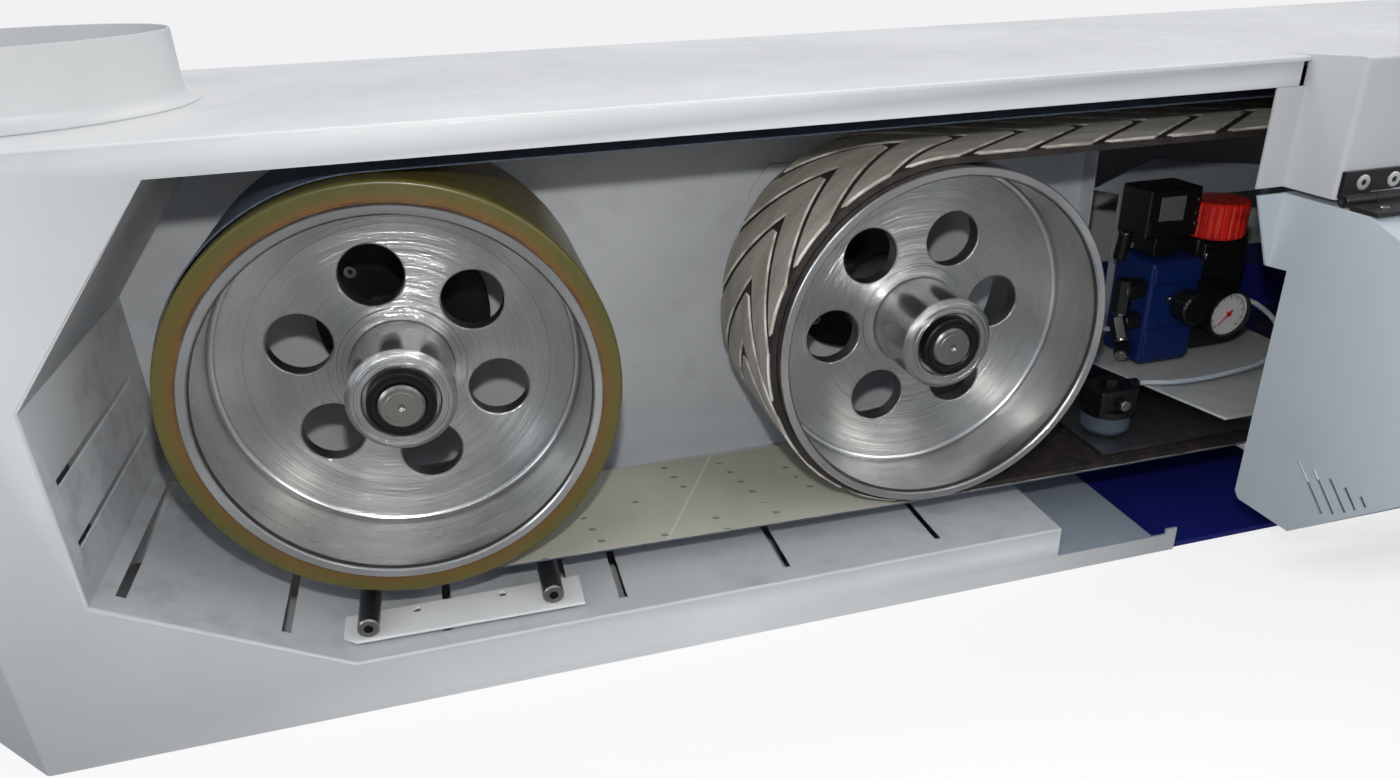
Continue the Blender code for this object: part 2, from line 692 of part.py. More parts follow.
def square_tube(name, half, depth, z, finish):
    """A rectangular tube along X, open at both ends."""
    tube = box(name, (-half, half), depth, z, finish)
    hollow_depth = (depth[0] + BEAM_WALL, depth[1] - BEAM_WALL)
    hollow_z = (z[0] + BEAM_WALL, z[1] - BEAM_WALL)
    return cut(tube, box(f"{name}_hollow", (-half - 0.1, half + 0.1), hollow_depth, hollow_z))


carrier_z = (CARRIER_BOTTOM, CARRIER_TOP)
square_tube("carrier_beam", CARRIER_HALF, (WALL_BACK + GAP, CARRIER_BACK), carrier_z, BLUE)
beam = square_tube("pressure_beam", BEAM_HALF, (BEAM_FRONT, WALL_BACK), (BEAM_BOTTOM, BEAM_TOP), ALUMINIUM)
foot = [
    (-0.565, 0.1000),
    (0.001 - BEAM_HALF, 0.1000),
    (0.001 - BEAM_HALF, 0.1450),
    (-0.002 - BEAM_HALF, 0.1450),
    (-0.002 - BEAM_HALF, 0.1030),
    (-0.565, 0.1030),
]
join(beam, prism("filter_foot", foot, "Y", 0.0505, 0.225))
pad_z = (PAD_BOTTOM, PAD_BOTTOM + PAD_THICK)
box("pressure_pad", (0.005 - BEAM_HALF, BEAM_HALF - 0.005), (0.045, 0.190), pad_z, GRAPHITE)


# ---------------------------------------------------------------- tension end and drive end
def tensioner():
    """Two carriages that slide between two rails behind the left wall, each with an air cylinder."""
    rails_z = (RAIL_LOW[0], RAIL_HIGH[1])
    frame = box("left_tension_rails", (-1.372, -0.628), (WALL_BACK + GAP, CARRIAGE_BACK), rails_z, STEEL)
    cut(frame, box("rail_window", (-1.360, -0.640), (0.26, 0.33), (RAIL_LOW[1], RAIL_HIGH[0])))
    plate = (RAIL_LOW[1] + GAP, RAIL_HIGH[0] - GAP)
    for label, x, z, rod in (
        ("outer", OUTER_X, OUTER_Z, (OUTER_X + 0.05, -1.085)),
        ("inner", INNER_X, INNER_Z, (-0.895, INNER_X - 0.05)),
    ):
        name = f"left_{label}_carriage"
        carriage = box(name, (x - 0.06, x + 0.06), (CARRIAGE_FRONT, CARRIAGE_BACK), plate, DARK_STEEL)
        middle = (sum(rod) / 2, CYLINDER_DEPTH, z)
        join(carriage, rods(f"{label}_piston_rod", "X", PISTON_R, [(middle, rod[1] - rod[0])]))
    for label, z, span in (("outer", OUTER_Z, (-1.150, -1.040)), ("inner", INNER_Z, (-0.960, -0.865))):
        length = span[1] - span[0]
        bore = PISTON_R + GAP
        profile = [(CYLINDER_R, length), (CYLINDER_R, 0), (bore, 0), (bore, length)]
        turned(f"left_{label}_cylinder", profile, (span[0], CYLINDER_DEPTH, z), "X", ALUMINIUM, 20)


tensioner()


def motors():
    """Two flange motors behind the right wall, one for each driven drum."""
    for label, x, z in (("outer", -OUTER_X, OUTER_Z), ("inner", -INNER_X, INNER_Z)):
        profile = [
            (0.0, 0.445),
            (MOTOR_R, 0.445),
            (MOTOR_R, 0.315),
            (MOTOR_FLANGE_R, 0.315),
            (MOTOR_FLANGE_R, 0.300),
            (MOTOR_PILOT_R, 0.300),
            (MOTOR_PILOT_R, 0.2892),
            (0.0, 0.2892),
        ]
        turned(f"right_{label}_motor", profile, (x, 0, z), "Y", DARK_STEEL, 24)


motors()


# ---------------------------------------------------------------- belt rest rods
def belt_rest():
    """Two round rods from the back wall, lying on a thin plate on the chamber floor."""
    outline = [
        (-1.3395, 0.027),
        (-1.3285, 0.018),
        (-1.1275, 0.014),
        (-1.1275, 0.057),
        (-1.3395, 0.057),
    ]
    plate = prism("left_rod_plate", outline, "Z", PLATE_Z - 0.003, PLATE_Z, PAINT)
    holes = [((x, 0.049, PLATE_Z), 0.02) for x in (-1.2765, -1.1995)]
    cut(plate, rods("plate_holes", "Z", 0.004, holes, steps=10))
    for number, x in ((1, -1.3165), (2, -1.1545)):
        length = WALL_FRONT - GAP - ROD_FRONT
        rods(f"left_belt_rest_rod_{number}", "Y", ROD_R, [((x, ROD_FRONT + length / 2, ROD_Z), length)], STEEL)


belt_rest()


# ---------------------------------------------------------------- air service unit
def air_unit():
    """Lock-out valve, pressure regulator with gauge, and a small filter, inside the belt loop."""
    shelf = [(-0.4599, 0.006), (-0.260, 0.006), (-0.260, 0.240), (-0.480, 0.240), (-0.503, 0.190)]
    prism("valve_shelf", shelf, "Z", SHELF_Z, SHELF_Z + 0.003, PAINT)
    guard = [(-0.4870, 0.3370), (-0.4113, 0.3670), (-0.2595, 0.3465), (-0.2520, 0.3160), (-0.4016, 0.3176)]
    bracket = prism("valve_bracket", guard, "Y", 0.2304, 0.2334, WALL_PAINT)
    join(bracket, box("bracket_stem", (-0.450, -0.340), (0.2304, 0.2334), (0.1496, 0.3300)))
    join(bracket, box("bracket_block", (-0.445, -0.345), (0.2003, 0.2310), (0.180, 0.260)))
    box("regulator_body", (-0.468, -0.403), (0.135, 0.200), (0.156, 0.2750), REGULATOR_BLUE)
    knob = rods("regulator_knob", "Y", 0.018, [((-0.4225, 0.1225, 0.2250), 0.0244)], BLACK)
    set_origin(knob, -0.4225, 0.1225, 0.2250)
    case = [(0.028, 0.1550), (0.028, 0.124), (0.0255, 0.124), (0.0255, 0.130), (0.0, 0.130), (0.0, 0.1550)]
    gauge = turned("gauge_case", case, (GAUGE_X, 0, GAUGE_Z), "Y", BLACK, 24)
    join(gauge, box("gauge_holder", (-0.4026, -0.335), (0.1500, 0.1900), (0.160, 0.2925)))
    needle = box("gauge_needle", (-0.0007, 0.0007), (0.1270, 0.1280), (-0.006, 0.019), RED)
    needle.data.transform(Matrix.Rotation(math.radians(-135), 4, "Y"))
    needle.location = (GAUGE_X, 0, GAUGE_Z)
    valve = box("lockout_valve", (-0.474, -0.408), (0.150, 0.198), (0.298, 0.352), BLACK)
    join(valve, box("valve_neck", (-0.455, -0.425), (0.155, 0.190), (0.2753, 0.299)))
    knob = rods("lockout_knob", "Z", 0.031, [((KNOB_X, KNOB_DEPTH, 0.3130), 0.040)], RED)
    set_origin(knob, KNOB_X, KNOB_DEPTH, 0.3130)
    rods("filter_bowl", "Z", 0.026, [((-0.530, 0.098, 0.1149), 0.0232)], BOWL)
    box("filter_head", (-0.553, -0.507), (0.078, 0.118), (0.1268, 0.158), BLACK)
    supply = [
        (-0.5062, 0.098, 0.1538),
        (-0.4960, 0.098, 0.1538),
        (-0.4860, 0.096, 0.1540),
        (-0.4600, 0.084, 0.1560),
        (-0.4000, 0.072, 0.1640),
        (-0.3400, 0.082, 0.1700),
        (-0.3000, 0.115, 0.1820),
        (-0.2920, 0.150, 0.1960),
        (-0.3050, 0.168, 0.2040),
        (-0.3230, 0.170, 0.2050),
        (-0.3342, 0.170, 0.2050),
    ]
    bent_tube("supply_tube", supply, 0.003, TUBE)
    tension = [
        (-0.4684, 0.168, 0.1900),
        (-0.4780, 0.168, 0.1900),
        (-0.4930, 0.168, 0.1915),
        (-0.5170, 0.180, 0.2000),
        (-0.5380, 0.210, 0.2120),
        (-0.5450, 0.240, 0.2160),
        (-0.5450, 0.252, 0.2160),
        (-0.5450, 0.2649, 0.2160),
    ]
    bent_tube("tension_tube", tension, 0.003, TUBE)


air_unit()
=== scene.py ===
# %% [markdown]
# # The looks of a cross-belt sanding head
# The machine head is already built as solids: folded sheet-metal housings, four wide drums, two belts,
# a flip-up door and a small air unit. This script gives it its finish. Solids that only need a surface get a
# new material. Solids that need softer bends or finer parts are hidden, and a more detailed piece takes their
# place. A few pieces, such as screws, fittings and rear panels, exist only here and stand for no solid.

# %% Load the fixed frame
import json
import math

import bmesh
import bpy
from mathutils import Matrix, Vector, noise

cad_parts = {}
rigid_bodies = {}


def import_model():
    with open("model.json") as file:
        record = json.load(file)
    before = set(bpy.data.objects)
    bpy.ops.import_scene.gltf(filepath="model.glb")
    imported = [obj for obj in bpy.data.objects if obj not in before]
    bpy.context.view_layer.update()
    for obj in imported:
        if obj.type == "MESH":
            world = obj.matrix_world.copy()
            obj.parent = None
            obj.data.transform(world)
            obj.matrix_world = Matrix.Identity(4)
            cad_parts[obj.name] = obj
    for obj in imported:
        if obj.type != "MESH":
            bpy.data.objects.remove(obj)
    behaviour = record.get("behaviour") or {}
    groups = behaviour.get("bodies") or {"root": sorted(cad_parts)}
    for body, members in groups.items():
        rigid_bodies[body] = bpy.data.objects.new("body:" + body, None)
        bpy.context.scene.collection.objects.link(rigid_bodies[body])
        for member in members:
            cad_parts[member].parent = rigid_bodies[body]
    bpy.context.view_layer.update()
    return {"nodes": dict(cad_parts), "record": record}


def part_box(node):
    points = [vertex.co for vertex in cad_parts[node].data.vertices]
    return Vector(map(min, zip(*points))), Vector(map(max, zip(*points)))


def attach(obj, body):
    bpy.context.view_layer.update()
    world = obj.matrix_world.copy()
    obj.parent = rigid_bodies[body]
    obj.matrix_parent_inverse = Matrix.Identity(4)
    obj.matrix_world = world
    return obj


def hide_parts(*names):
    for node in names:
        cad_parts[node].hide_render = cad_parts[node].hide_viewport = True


for obj in list(bpy.data.objects):
    bpy.data.objects.remove(obj)
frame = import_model()

HEAD = "machine_head"
SLOT_OF = {part["node"]: part["material_slot"] for part in frame["record"]["subparts"]}
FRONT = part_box("left_housing")[0].y
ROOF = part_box("left_housing")[1].z
print("the front face is at y =", round(FRONT, 4))


def at(x, depth, z):
    """A point, with its depth measured back from the housing's front face."""
    return Vector((x, FRONT + depth, z))


# %% [markdown]
# ## Camera
# The head is seen from close by, above its left end, with a wide lens, so the drums look like ellipses.
# A camera looks along its own -Z. Its three axes are worked out from a heading, a tilt and a small roll.

# %% Camera
CAMERA_PLACE = Vector((-1.1942, -0.8212, 0.6108))
HEADING, TILT, ROLL = math.radians(14.128), math.radians(25.05), math.radians(-1.989)
LENS = 24.76

ahead = Vector((math.sin(HEADING) * math.cos(TILT), math.cos(HEADING) * math.cos(TILT), -math.sin(TILT)))
level = Vector((math.cos(HEADING), -math.sin(HEADING), 0))
above = level.cross(ahead)
right = math.cos(ROLL) * level + math.sin(ROLL) * above
up = math.cos(ROLL) * above - math.sin(ROLL) * level

camera = bpy.data.objects.new("camera", bpy.data.cameras.new("camera"))
camera.data.lens = LENS
camera.data.clip_start = 0.02
camera.matrix_world = Matrix.Translation(CAMERA_PLACE) @ Matrix((right, up, -ahead)).transposed().to_4x4()
bpy.context.scene.collection.objects.link(camera)
bpy.context.scene.camera = camera
bpy.context.scene.view_settings.view_transform = "Standard"
print("camera", [round(c, 3) for c in CAMERA_PLACE], "lens", LENS)


# %% [markdown]
# ## A short way to write materials
# Shader maths is easier to read as sums than as boxes and wires. `Wire` stands for one output of a node, and
# its operators add Math nodes. `Finish` is one material, and its other nodes come from its `node` method.

# %% Wire and Finish
class Wire:
    """One output socket that can be used in sums and comparisons."""

    def __init__(self, finish, socket):
        self.finish = finish
        self.socket = socket

    def math(self, operation, *others):
        return self.finish.node("ShaderNodeMath", {"operation": operation}, (self, *others))

    def __add__(self, other):
        return self.math("ADD", other)

    def __sub__(self, other):
        return self.math("SUBTRACT", other)

    def __mul__(self, other):
        return self.math("MULTIPLY", other)

    def __gt__(self, other):
        return self.math("GREATER_THAN", other)

    def __lt__(self, other):
        return self.math("LESS_THAN", other)


class Finish:
    """A material round one Principled shader."""

    def __init__(self, name, colour, roughness, metallic=0.0, **constants):
        self.material = bpy.data.materials.new(name)
        self.material.use_nodes = True
        self.tree = self.material.node_tree
        self.shader = self.tree.nodes["Principled BSDF"]
        self.colour = colour
        self.set("Base Color", colour)
        self.set("Roughness", roughness)
        self.set("Metallic", metallic)
        for label, value in constants.items():
            self.set(label.replace("_", " "), value)

    def feed(self, socket, value):
        if isinstance(value, Wire):
            self.tree.links.new(value.socket, socket)
        else:
            socket.default_value = value

    def set(self, label, value):
        self.feed(self.shader.inputs[label], value)

    def node(self, kind, settings=None, inputs=(), output=0):
        """Any node: its settings first, then its sockets, by place or by name."""
        made = self.tree.nodes.new(kind)
        for key, value in (settings or {}).items():
            if key == "stops":
                ramp = made.color_ramp.elements
                ramp[0].position, ramp[0].color = value[0]
                ramp[1].position, ramp[1].color = value[-1]
                for position, colour in value[1:-1]:
                    ramp.new(position).color = colour
            else:
                setattr(made, key, value)
        for key, value in inputs.items() if isinstance(inputs, dict) else enumerate(inputs):
            self.feed(made.inputs[key], value)
        return Wire(self, made.outputs[output])

    def place(self):
        return self.node("ShaderNodeTexCoord", output="Object")

    def stretched(self, scale):
        return self.node("ShaderNodeMapping", None, {"Vector": self.place(), "Scale": scale})

    def along(self, axis):
        return self.node("ShaderNodeSeparateXYZ", None, [self.place()], axis)

    def noise(self, scale, detail=3.0, vector=None):
        vector = vector or self.place()
        return self.node("ShaderNodeTexNoise", None, {"Vector": vector, "Scale": scale, "Detail": detail})

    def spread(self, value, low, high, to_low=0.0, to_high=1.0):
        return self.node("ShaderNodeMapRange", None, [value, low, high, to_low, to_high])

    def mix(self, share, first, second):
        settings = {"data_type": "RGBA"}
        return self.node("ShaderNodeMix", settings, {0: share, 6: first, 7: second}, 2)

    def mottled(self, scale, first, second, detail=3.0, low=0.4, high=0.6):
        """A base colour that drifts between two tones with a noise."""
        self.set("Base Color", self.mix(self.spread(self.noise(scale, detail), low, high), first, second))

    def bump(self, height, distance, strength=1.0):
        inputs = {"Strength": strength, "Distance": distance, "Height": height}
        self.set("Normal", self.node("ShaderNodeBump", None, inputs))


def tone(red, green, blue):
    """A colour as it looks on a screen, 0 to 255, turned into the linear values that shaders use."""
    shown = (red / 255, green / 255, blue / 255)
    linear = [c / 12.92 if c <= 0.04045 else ((c + 0.055) / 1.055) ** 2.4 for c in shown]
    return (*linear, 1.0)


def shade(colour, share):
    """A darker or lighter version of a colour."""
    return (*(min(1.0, c * share) for c in colour[:3]), 1.0)


print("one paint colour in linear values:", [round(c, 3) for c in tone(206, 206, 203)])

# %% [markdown]
# ## Floor, background and light
# The background is plain white. The floor and the sky are white only where the camera looks at them; light
# that bounces sees a mid-grey workshop floor, so the undersides stay dark. In the open the floor is mostly a
# plain white glow with a faint shadow. Close under the machine the glow fades and the floor is as dark as its
# light makes it. A broad lamp hangs above, two lamps and two narrow strips stand to the left and right in
# front, and a small lamp near the camera draws glints on the turned drums.

# %% Floor, background and lamps
FLOOR_HALF = 30.0
AMBIENT = 0.50
SHELTER_REACH = 0.3
NO_GLOW, FULL_GLOW = 0.12, 0.30
FLOOR_GLOW = 0.8


def camera_mix(tree, for_camera, otherwise, output):
    """Shows one shader to the camera and another to bounced light."""
    path = tree.nodes.new("ShaderNodeLightPath")
    mix = tree.nodes.new("ShaderNodeMixShader")
    tree.links.new(path.outputs["Is Camera Ray"], mix.inputs[0])
    tree.links.new(otherwise.outputs[0], mix.inputs[1])
    tree.links.new(for_camera.outputs[0], mix.inputs[2])
    tree.links.new(mix.outputs[0], output.inputs["Surface"])


floor_paint = Finish("floor_paint", tone(150, 150, 150), 0.9)
shadowed = floor_paint.tree.nodes.new("ShaderNodeBsdfDiffuse")
shadowed.inputs["Color"].default_value = tone(250, 250, 250)
glow = floor_paint.tree.nodes.new("ShaderNodeEmission")
soft_white = floor_paint.tree.nodes.new("ShaderNodeMixShader")
shelter = floor_paint.node("ShaderNodeAmbientOcclusion", None, {"Distance": SHELTER_REACH}, "AO")
floor_paint.feed(soft_white.inputs[0], floor_paint.spread(shelter, NO_GLOW, FULL_GLOW, 0.0, FLOOR_GLOW))
floor_paint.tree.links.new(shadowed.outputs[0], soft_white.inputs[1])
floor_paint.tree.links.new(glow.outputs[0], soft_white.inputs[2])
camera_mix(floor_paint.tree, soft_white, floor_paint.shader, floor_paint.tree.nodes["Material Output"])

bm = bmesh.new()
bmesh.ops.create_grid(bm, size=FLOOR_HALF)
floor_mesh = bpy.data.meshes.new("floor")
bm.to_mesh(floor_mesh)
bm.free()
floor_mesh.materials.append(floor_paint.material)
floor = bpy.data.objects.new("floor", floor_mesh)
bpy.context.scene.collection.objects.link(floor)

world = bpy.data.worlds.new("sky")
bpy.context.scene.world = world
world.use_nodes = True
sky = world.node_tree.nodes["Background"]
sky.inputs["Color"].default_value = tone(236, 243, 255)
sky.inputs["Strength"].default_value = AMBIENT
white = world.node_tree.nodes.new("ShaderNodeBackground")
white.inputs["Color"].default_value = tone(255, 255, 255)
camera_mix(world.node_tree, white, sky, world.node_tree.nodes["World Output"])


def lamp(name, place, target, size, power, colour, shape="RECTANGLE"):
    light = bpy.data.lights.new(name, "AREA")
    light.shape = shape
    light.size, light.size_y = size
    light.energy = power
    light.color = colour[:3]
    obj = bpy.data.objects.new(name, light)
    obj.location = place
    obj.rotation_euler = (Vector(target) - Vector(place)).to_track_quat("-Z", "Y").to_euler()
    obj.visible_camera = False
    bpy.context.scene.collection.objects.link(obj)


NEAR_CAMERA = CAMERA_PLACE + 0.11 * up
WARM_WHITE = tone(255, 252, 247)
lamp("ceiling_lamp", (-0.4, 1.0, 2.6), (-0.4, 0.2, 0.4), (3.8, 1.0), 52, WARM_WHITE)
lamp("left_lamp", (-3.3, -0.9, 1.3), (-0.6, -0.1, 0.35), (0.9, 0.9), 9, tone(244, 248, 255))
lamp("right_lamp", (1.6, -2.9, 1.9), (-0.4, -0.1, 0.35), (1.4, 1.2), 18, WARM_WHITE)
lamp("left_strip", (-2.5, -1.7, 2.3), (-1.2, 0, 0.2), (0.22, 0.9), 3, WARM_WHITE)
lamp("right_strip", (0.2, -1.7, 2.3), (-1.0, 0, 0.2), (0.22, 0.9), 3, WARM_WHITE)
lamp("near_lamp", NEAR_CAMERA, at(-0.95, 0.1, 0.25), (0.03, 0.03), 3.5, tone(255, 254, 252), "ELLIPSE")
print("lamps:", [light.name for light in bpy.data.lights])

# %% [markdown]
# ## Painted sheet metal
# Powder coat is never one flat grey: it has a fine orange-peel texture, slightly cloudy gloss, and in a
# sander a film of dust. A fine and a cloudy noise together choose the patches where the dust lies.

# %% Painted finishes
ORANGE_PEEL = 0.00012


def powder_coat(name, colour, dusty=0.0, roughness=0.42):
    finish = Finish(name, colour, roughness, Specular_IOR_Level=0.45)
    cloud = finish.noise(3.5, 4.0)
    grime = finish.noise(34.0, 6.0)
    coat = finish.mix(finish.spread(cloud, 0.35, 0.65), shade(colour, 0.90), shade(colour, 1.05))
    if dusty:
        patches = finish.spread(grime, 0.50, 0.68) * finish.spread(finish.noise(5.0, 2.0), 0.45, 0.6)
        coat = finish.mix(patches * dusty, coat, shade(colour, 0.62))
    finish.set("Base Color", coat)
    finish.set("Roughness", finish.spread(grime, 0.3, 0.7, roughness - 0.06, roughness + 0.10))
    finish.bump(finish.noise(620.0, 2.0), ORANGE_PEEL, 0.35)
    return finish


shell_paint = powder_coat("shell_paint", tone(206, 207, 207))
liner_paint = powder_coat("liner_paint", tone(198, 201, 203), dusty=0.55, roughness=0.5)
tray_paint = powder_coat("tray_paint", tone(166, 176, 186), dusty=0.3, roughness=0.38)
wall_paint = powder_coat("wall_paint", tone(204, 207, 210), dusty=0.25, roughness=0.5)
frame_blue = powder_coat("frame_blue", tone(34, 40, 128), roughness=0.35)
plate_paint = powder_coat("plate_paint", tone(232, 233, 231), dusty=0.3, roughness=0.5)
door_paint = powder_coat("door_paint", tone(200, 208, 214))
print("painted finishes are ready")

# %% [markdown]
# ## Making pieces
# Nearly every new piece starts as a bmesh. `finished` turns it into an object, hangs it on the body it moves
# with, and hides the solids it stands for. Round pieces are spun from an outline, and most pieces of the left
# end have a mirrored twin at the right.

# %% Helpers for new pieces
looks = bpy.data.collections.new("looks")
bpy.context.scene.collection.children.link(looks)
AXES = {"X": Vector((1, 0, 0)), "Y": Vector((0, 1, 0)), "Z": Vector((0, 0, 1))}
SIDES = {"X": Vector((0, 0, 1)), "Y": Vector((1, 0, 0)), "Z": Vector((1, 0, 0))}
SPIN_STEPS = 128
MERGE_WITHIN, FLAT_WITHIN = 2e-5, math.radians(0.6)


def finished(name, bm, finishes, body=HEAD, stands_for=(), sharp=32):
    """Turns a bmesh into a piece that rides on a body. Edges folded by more than sharp degrees stay sharp."""
    mesh = bpy.data.meshes.new(name)
    bm.to_mesh(mesh)
    bm.free()
    mesh.shade_smooth()
    mesh.set_sharp_from_angle(angle=math.radians(sharp))
    for finish in finishes:
        mesh.materials.append(finish.material)
    obj = bpy.data.objects.new(name, mesh)
    looks.objects.link(obj)
    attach(obj, body)
    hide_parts(*stands_for)
    flat_sides(obj)
    return obj


def flat_sides(obj):
    """Keeps big faces flat in the light, so that only the small bends between them look round."""
    weighted = obj.modifiers.new("flat sides", "WEIGHTED_NORMAL")
    weighted.keep_sharp = True


def mirrored(bm):
    twin = bm.copy()
    bmesh.ops.scale(twin, vec=(-1, 1, 1), verts=twin.verts)
    bmesh.ops.reverse_faces(twin, faces=twin.faces)
    return twin


def at_both_ends(bm):
    """A left piece and its mirrored twin, each with the name of its end."""
    return ("left", bm), ("right", mirrored(bm))


def as_mesh(bm):
    """The finished mesh of a bmesh, which is freed."""
    mesh = bpy.data.meshes.new("made")
    bm.to_mesh(mesh)
    bm.free()
    return mesh


def thickened(bm, outline, offset):
    """Fills a flat outline of points and extrudes it along offset. Returns the raised points."""
    face = bm.faces.new([bm.verts.new(point) for point in outline])
    pushed = bmesh.ops.extrude_face_region(bm, geom=[face])["geom"]
    raised = [g for g in pushed if isinstance(g, bmesh.types.BMVert)]
    bmesh.ops.translate(bm, vec=offset, verts=raised)
    return raised


def turned(bm, outline, origin, axis, steps=SPIN_STEPS, closed=True):
    """A full turn of an outline of (radius, distance along the axis) about an axis through origin."""
    verts = [bm.verts.new(origin + SIDES[axis] * radius + AXES[axis] * along) for radius, along in outline]
    pairs = zip(verts, verts[1:] + verts[:1]) if closed else zip(verts, verts[1:])
    edges = [bm.edges.new(pair) for pair in pairs]
    settings = {"cent": origin, "axis": AXES[axis], "angle": math.tau, "steps": steps, "use_merge": True}
    bmesh.ops.spin(bm, geom=verts + edges, **settings)
    bmesh.ops.remove_doubles(bm, verts=bm.verts, dist=1e-6)
    bmesh.ops.recalc_face_normals(bm, faces=bm.faces)


def block(bm, low, high):
    """A plain block from its lowest to its highest corner."""
    size, middle = high - low, (high + low) / 2
    matrix = Matrix.LocRotScale(middle, None, size)
    bmesh.ops.create_cube(bm, size=1, matrix=matrix)


def rod(bm, start, end, radius, segments=24):
    """A round bar between two points."""
    along = end - start
    turn = along.to_track_quat("Z", "Y").to_matrix().to_4x4()
    size = {"radius1": radius, "radius2": radius, "depth": along.length}
    matrix = Matrix.Translation((start + end) / 2) @ turn
    bmesh.ops.create_cone(bm, cap_ends=True, segments=segments, matrix=matrix, **size)


def rounded(bm, width, where=None, segments=2, angle=30):
    """Bevels the edges folded by more than angle degrees, or those of them that a test chooses."""
    chosen = [e for e in bm.edges if e.is_manifold and e.calc_face_angle(0) > math.radians(angle)]
    chosen = [e for e in chosen if where is None or where(e)]
    settings = {"affect": "EDGES", "segments": segments, "profile": 0.5, "material": -1}
    bmesh.ops.bevel(bm, geom=chosen, offset=width, offset_type="OFFSET", clamp_overlap=True, **settings)


def solid_of(node):
    """A bmesh copy of a solid, with its points merged and its flat triangles joined."""
    bm = bmesh.new()
    bm.from_mesh(frame["nodes"][node].data)
    bmesh.ops.remove_doubles(bm, verts=bm.verts, dist=MERGE_WITHIN)
    bmesh.ops.dissolve_limit(bm, angle_limit=FLAT_WITHIN, verts=bm.verts, edges=bm.edges)
    return bm


def ends_of(edge):
    return edge.verts[0].co, edge.verts[1].co


def pierced(obj, cutter_mesh):
    """Cuts a closed mesh out of a finished piece for good."""
    obj.modifiers.clear()
    tool = bpy.data.objects.new("tool", cutter_mesh)
    looks.objects.link(tool)
    cut = obj.modifiers.new("cut", "BOOLEAN")
    cut.object = tool
    cut.solver = "EXACT"
    graph = bpy.context.evaluated_depsgraph_get()
    mesh = bpy.data.meshes.new_from_object(obj.evaluated_get(graph))
    obj.modifiers.clear()
    obj.data = mesh
    bpy.data.objects.remove(tool)
    flat_sides(obj)


# %% [markdown]
# ## Housings, hood, door and walls
# The folded shells get the bends of real sheet metal: about 5 mm along the roof's front and round the rim
# of the belt chamber, 4 to 4.5 mm on the hood and the door, and a broken edge of about half a millimetre
# everywhere else. The chamber's inside and its tray have their own paint.

# %% Folded shells
CHAMBER_RIM = [(-1.3913, 0.478), (-1.5107, 0.3223), (-1.5107, 0.1552), (-1.3285, 0.0545), (-0.6404, 0.0545)]
BROKEN_EDGE = 0.0005
SAME = 1e-4
RIM_BEND, ROOF_BEND, HOOD_BEND, DOOR_BEND = 0.0045, 0.005, 0.0045, 0.004
ROOF_DEPTH, CORNER_DEPTH = 0.09, 0.081
END_X, TALL, SHORT = 1.55, 0.3, 0.02
CHAMBER_HALF, CHAMBER_DEPTH, CHAMBER_LOW, CHAMBER_HIGH = 1.512, 0.262, 0.053, 0.476
SHEET = 0.006
TRAY_HALF, TRAY_HIGH = 0.641, 0.056
DOOR_HALF = 0.459
HOOD_ROOF, HOOD_SIDE = 0.5065, 0.09


def on_rim(edge):
    """True for the front edges that follow the chamber's rim, at either end of the head."""
    for point in ends_of(edge):
        if abs(point.y - FRONT) > SAME:
            return False
    x, z = (abs(c) for c in ((ends_of(edge)[0] + ends_of(edge)[1]) / 2).xz)
    for (x0, z0), (x1, z1) in zip(CHAMBER_RIM, CHAMBER_RIM[1:]):
        along = Vector((-x1 + x0, z1 - z0))
        offset = Vector((x + x0, z - z0))
        if abs(along.cross(offset)) / along.length < 10 * SAME:
            return True
    return False


def on_roof_edge(edge):
    """True for the outer edges round the roof and down the front corner."""
    a, b = ends_of(edge)
    depth = max(a.y, b.y) - FRONT
    if abs(a.z - b.z) < SAME and min(a.z, b.z) > ROOF - 10 * SAME:
        return depth < ROOF_DEPTH and abs(a.x - b.x) > SHORT
    return depth < CORNER_DEPTH and abs(a.z - b.z) > TALL and max(abs(a.x), abs(b.x)) > END_X


def folded(node, finishes, bends=(), edge=BROKEN_EDGE, body=HEAD, regions=()):
    """A folded piece. Faces that a region's test picks get the material of that region, counted from 1."""
    bm = solid_of(node)
    for test, radius in bends:
        rounded(bm, radius, test, segments=4)
    rounded(bm, edge, segments=1)
    for index, test in enumerate(regions, 1):
        for face in bm.faces:
            if test(face.calc_center_median(), face.normal):
                face.material_index = index
    return finished(f"{node}_shell", bm, finishes, body, [node])


def in_chamber(middle, normal):
    """True for the inner faces of the belt chamber: its floor, its sloping walls and its far wall."""
    inside = FRONT + SHEET < middle.y < FRONT + CHAMBER_DEPTH and abs(middle.x) < CHAMBER_HALF
    return inside and CHAMBER_LOW < middle.z < CHAMBER_HIGH and not normal.z < -0.5


def on_tray(middle, normal):
    """True for the low tray between the chamber's floor and the middle of the head, but not its front."""
    low_middle = abs(middle.x) < TRAY_HALF and middle.z < TRAY_HIGH
    return low_middle and normal.y > -0.5 and middle.y > FRONT + 10 * SAME


for end in ("left", "right"):
    bends = [(on_rim, RIM_BEND), (on_roof_edge, ROOF_BEND)]
    paints = [shell_paint, liner_paint, tray_paint]
    folded(f"{end}_housing", paints, bends, regions=[in_chamber, on_tray])
    folded(f"{end}_back_wall", [wall_paint])
folded("left_rod_plate", [plate_paint], edge=0.0004)


def hood_fold(edge):
    """True for the hood's long roof edges and the two upright ones at its front."""
    a, b = ends_of(edge)
    along_roof = abs(a.x - b.x) > DOOR_HALF and a.z > HOOD_ROOF
    down_front = abs(a.z - b.z) > HOOD_SIDE and max(a.y, b.y) < FRONT - 0.05 and abs(a.x) > DOOR_HALF
    return along_roof or down_front


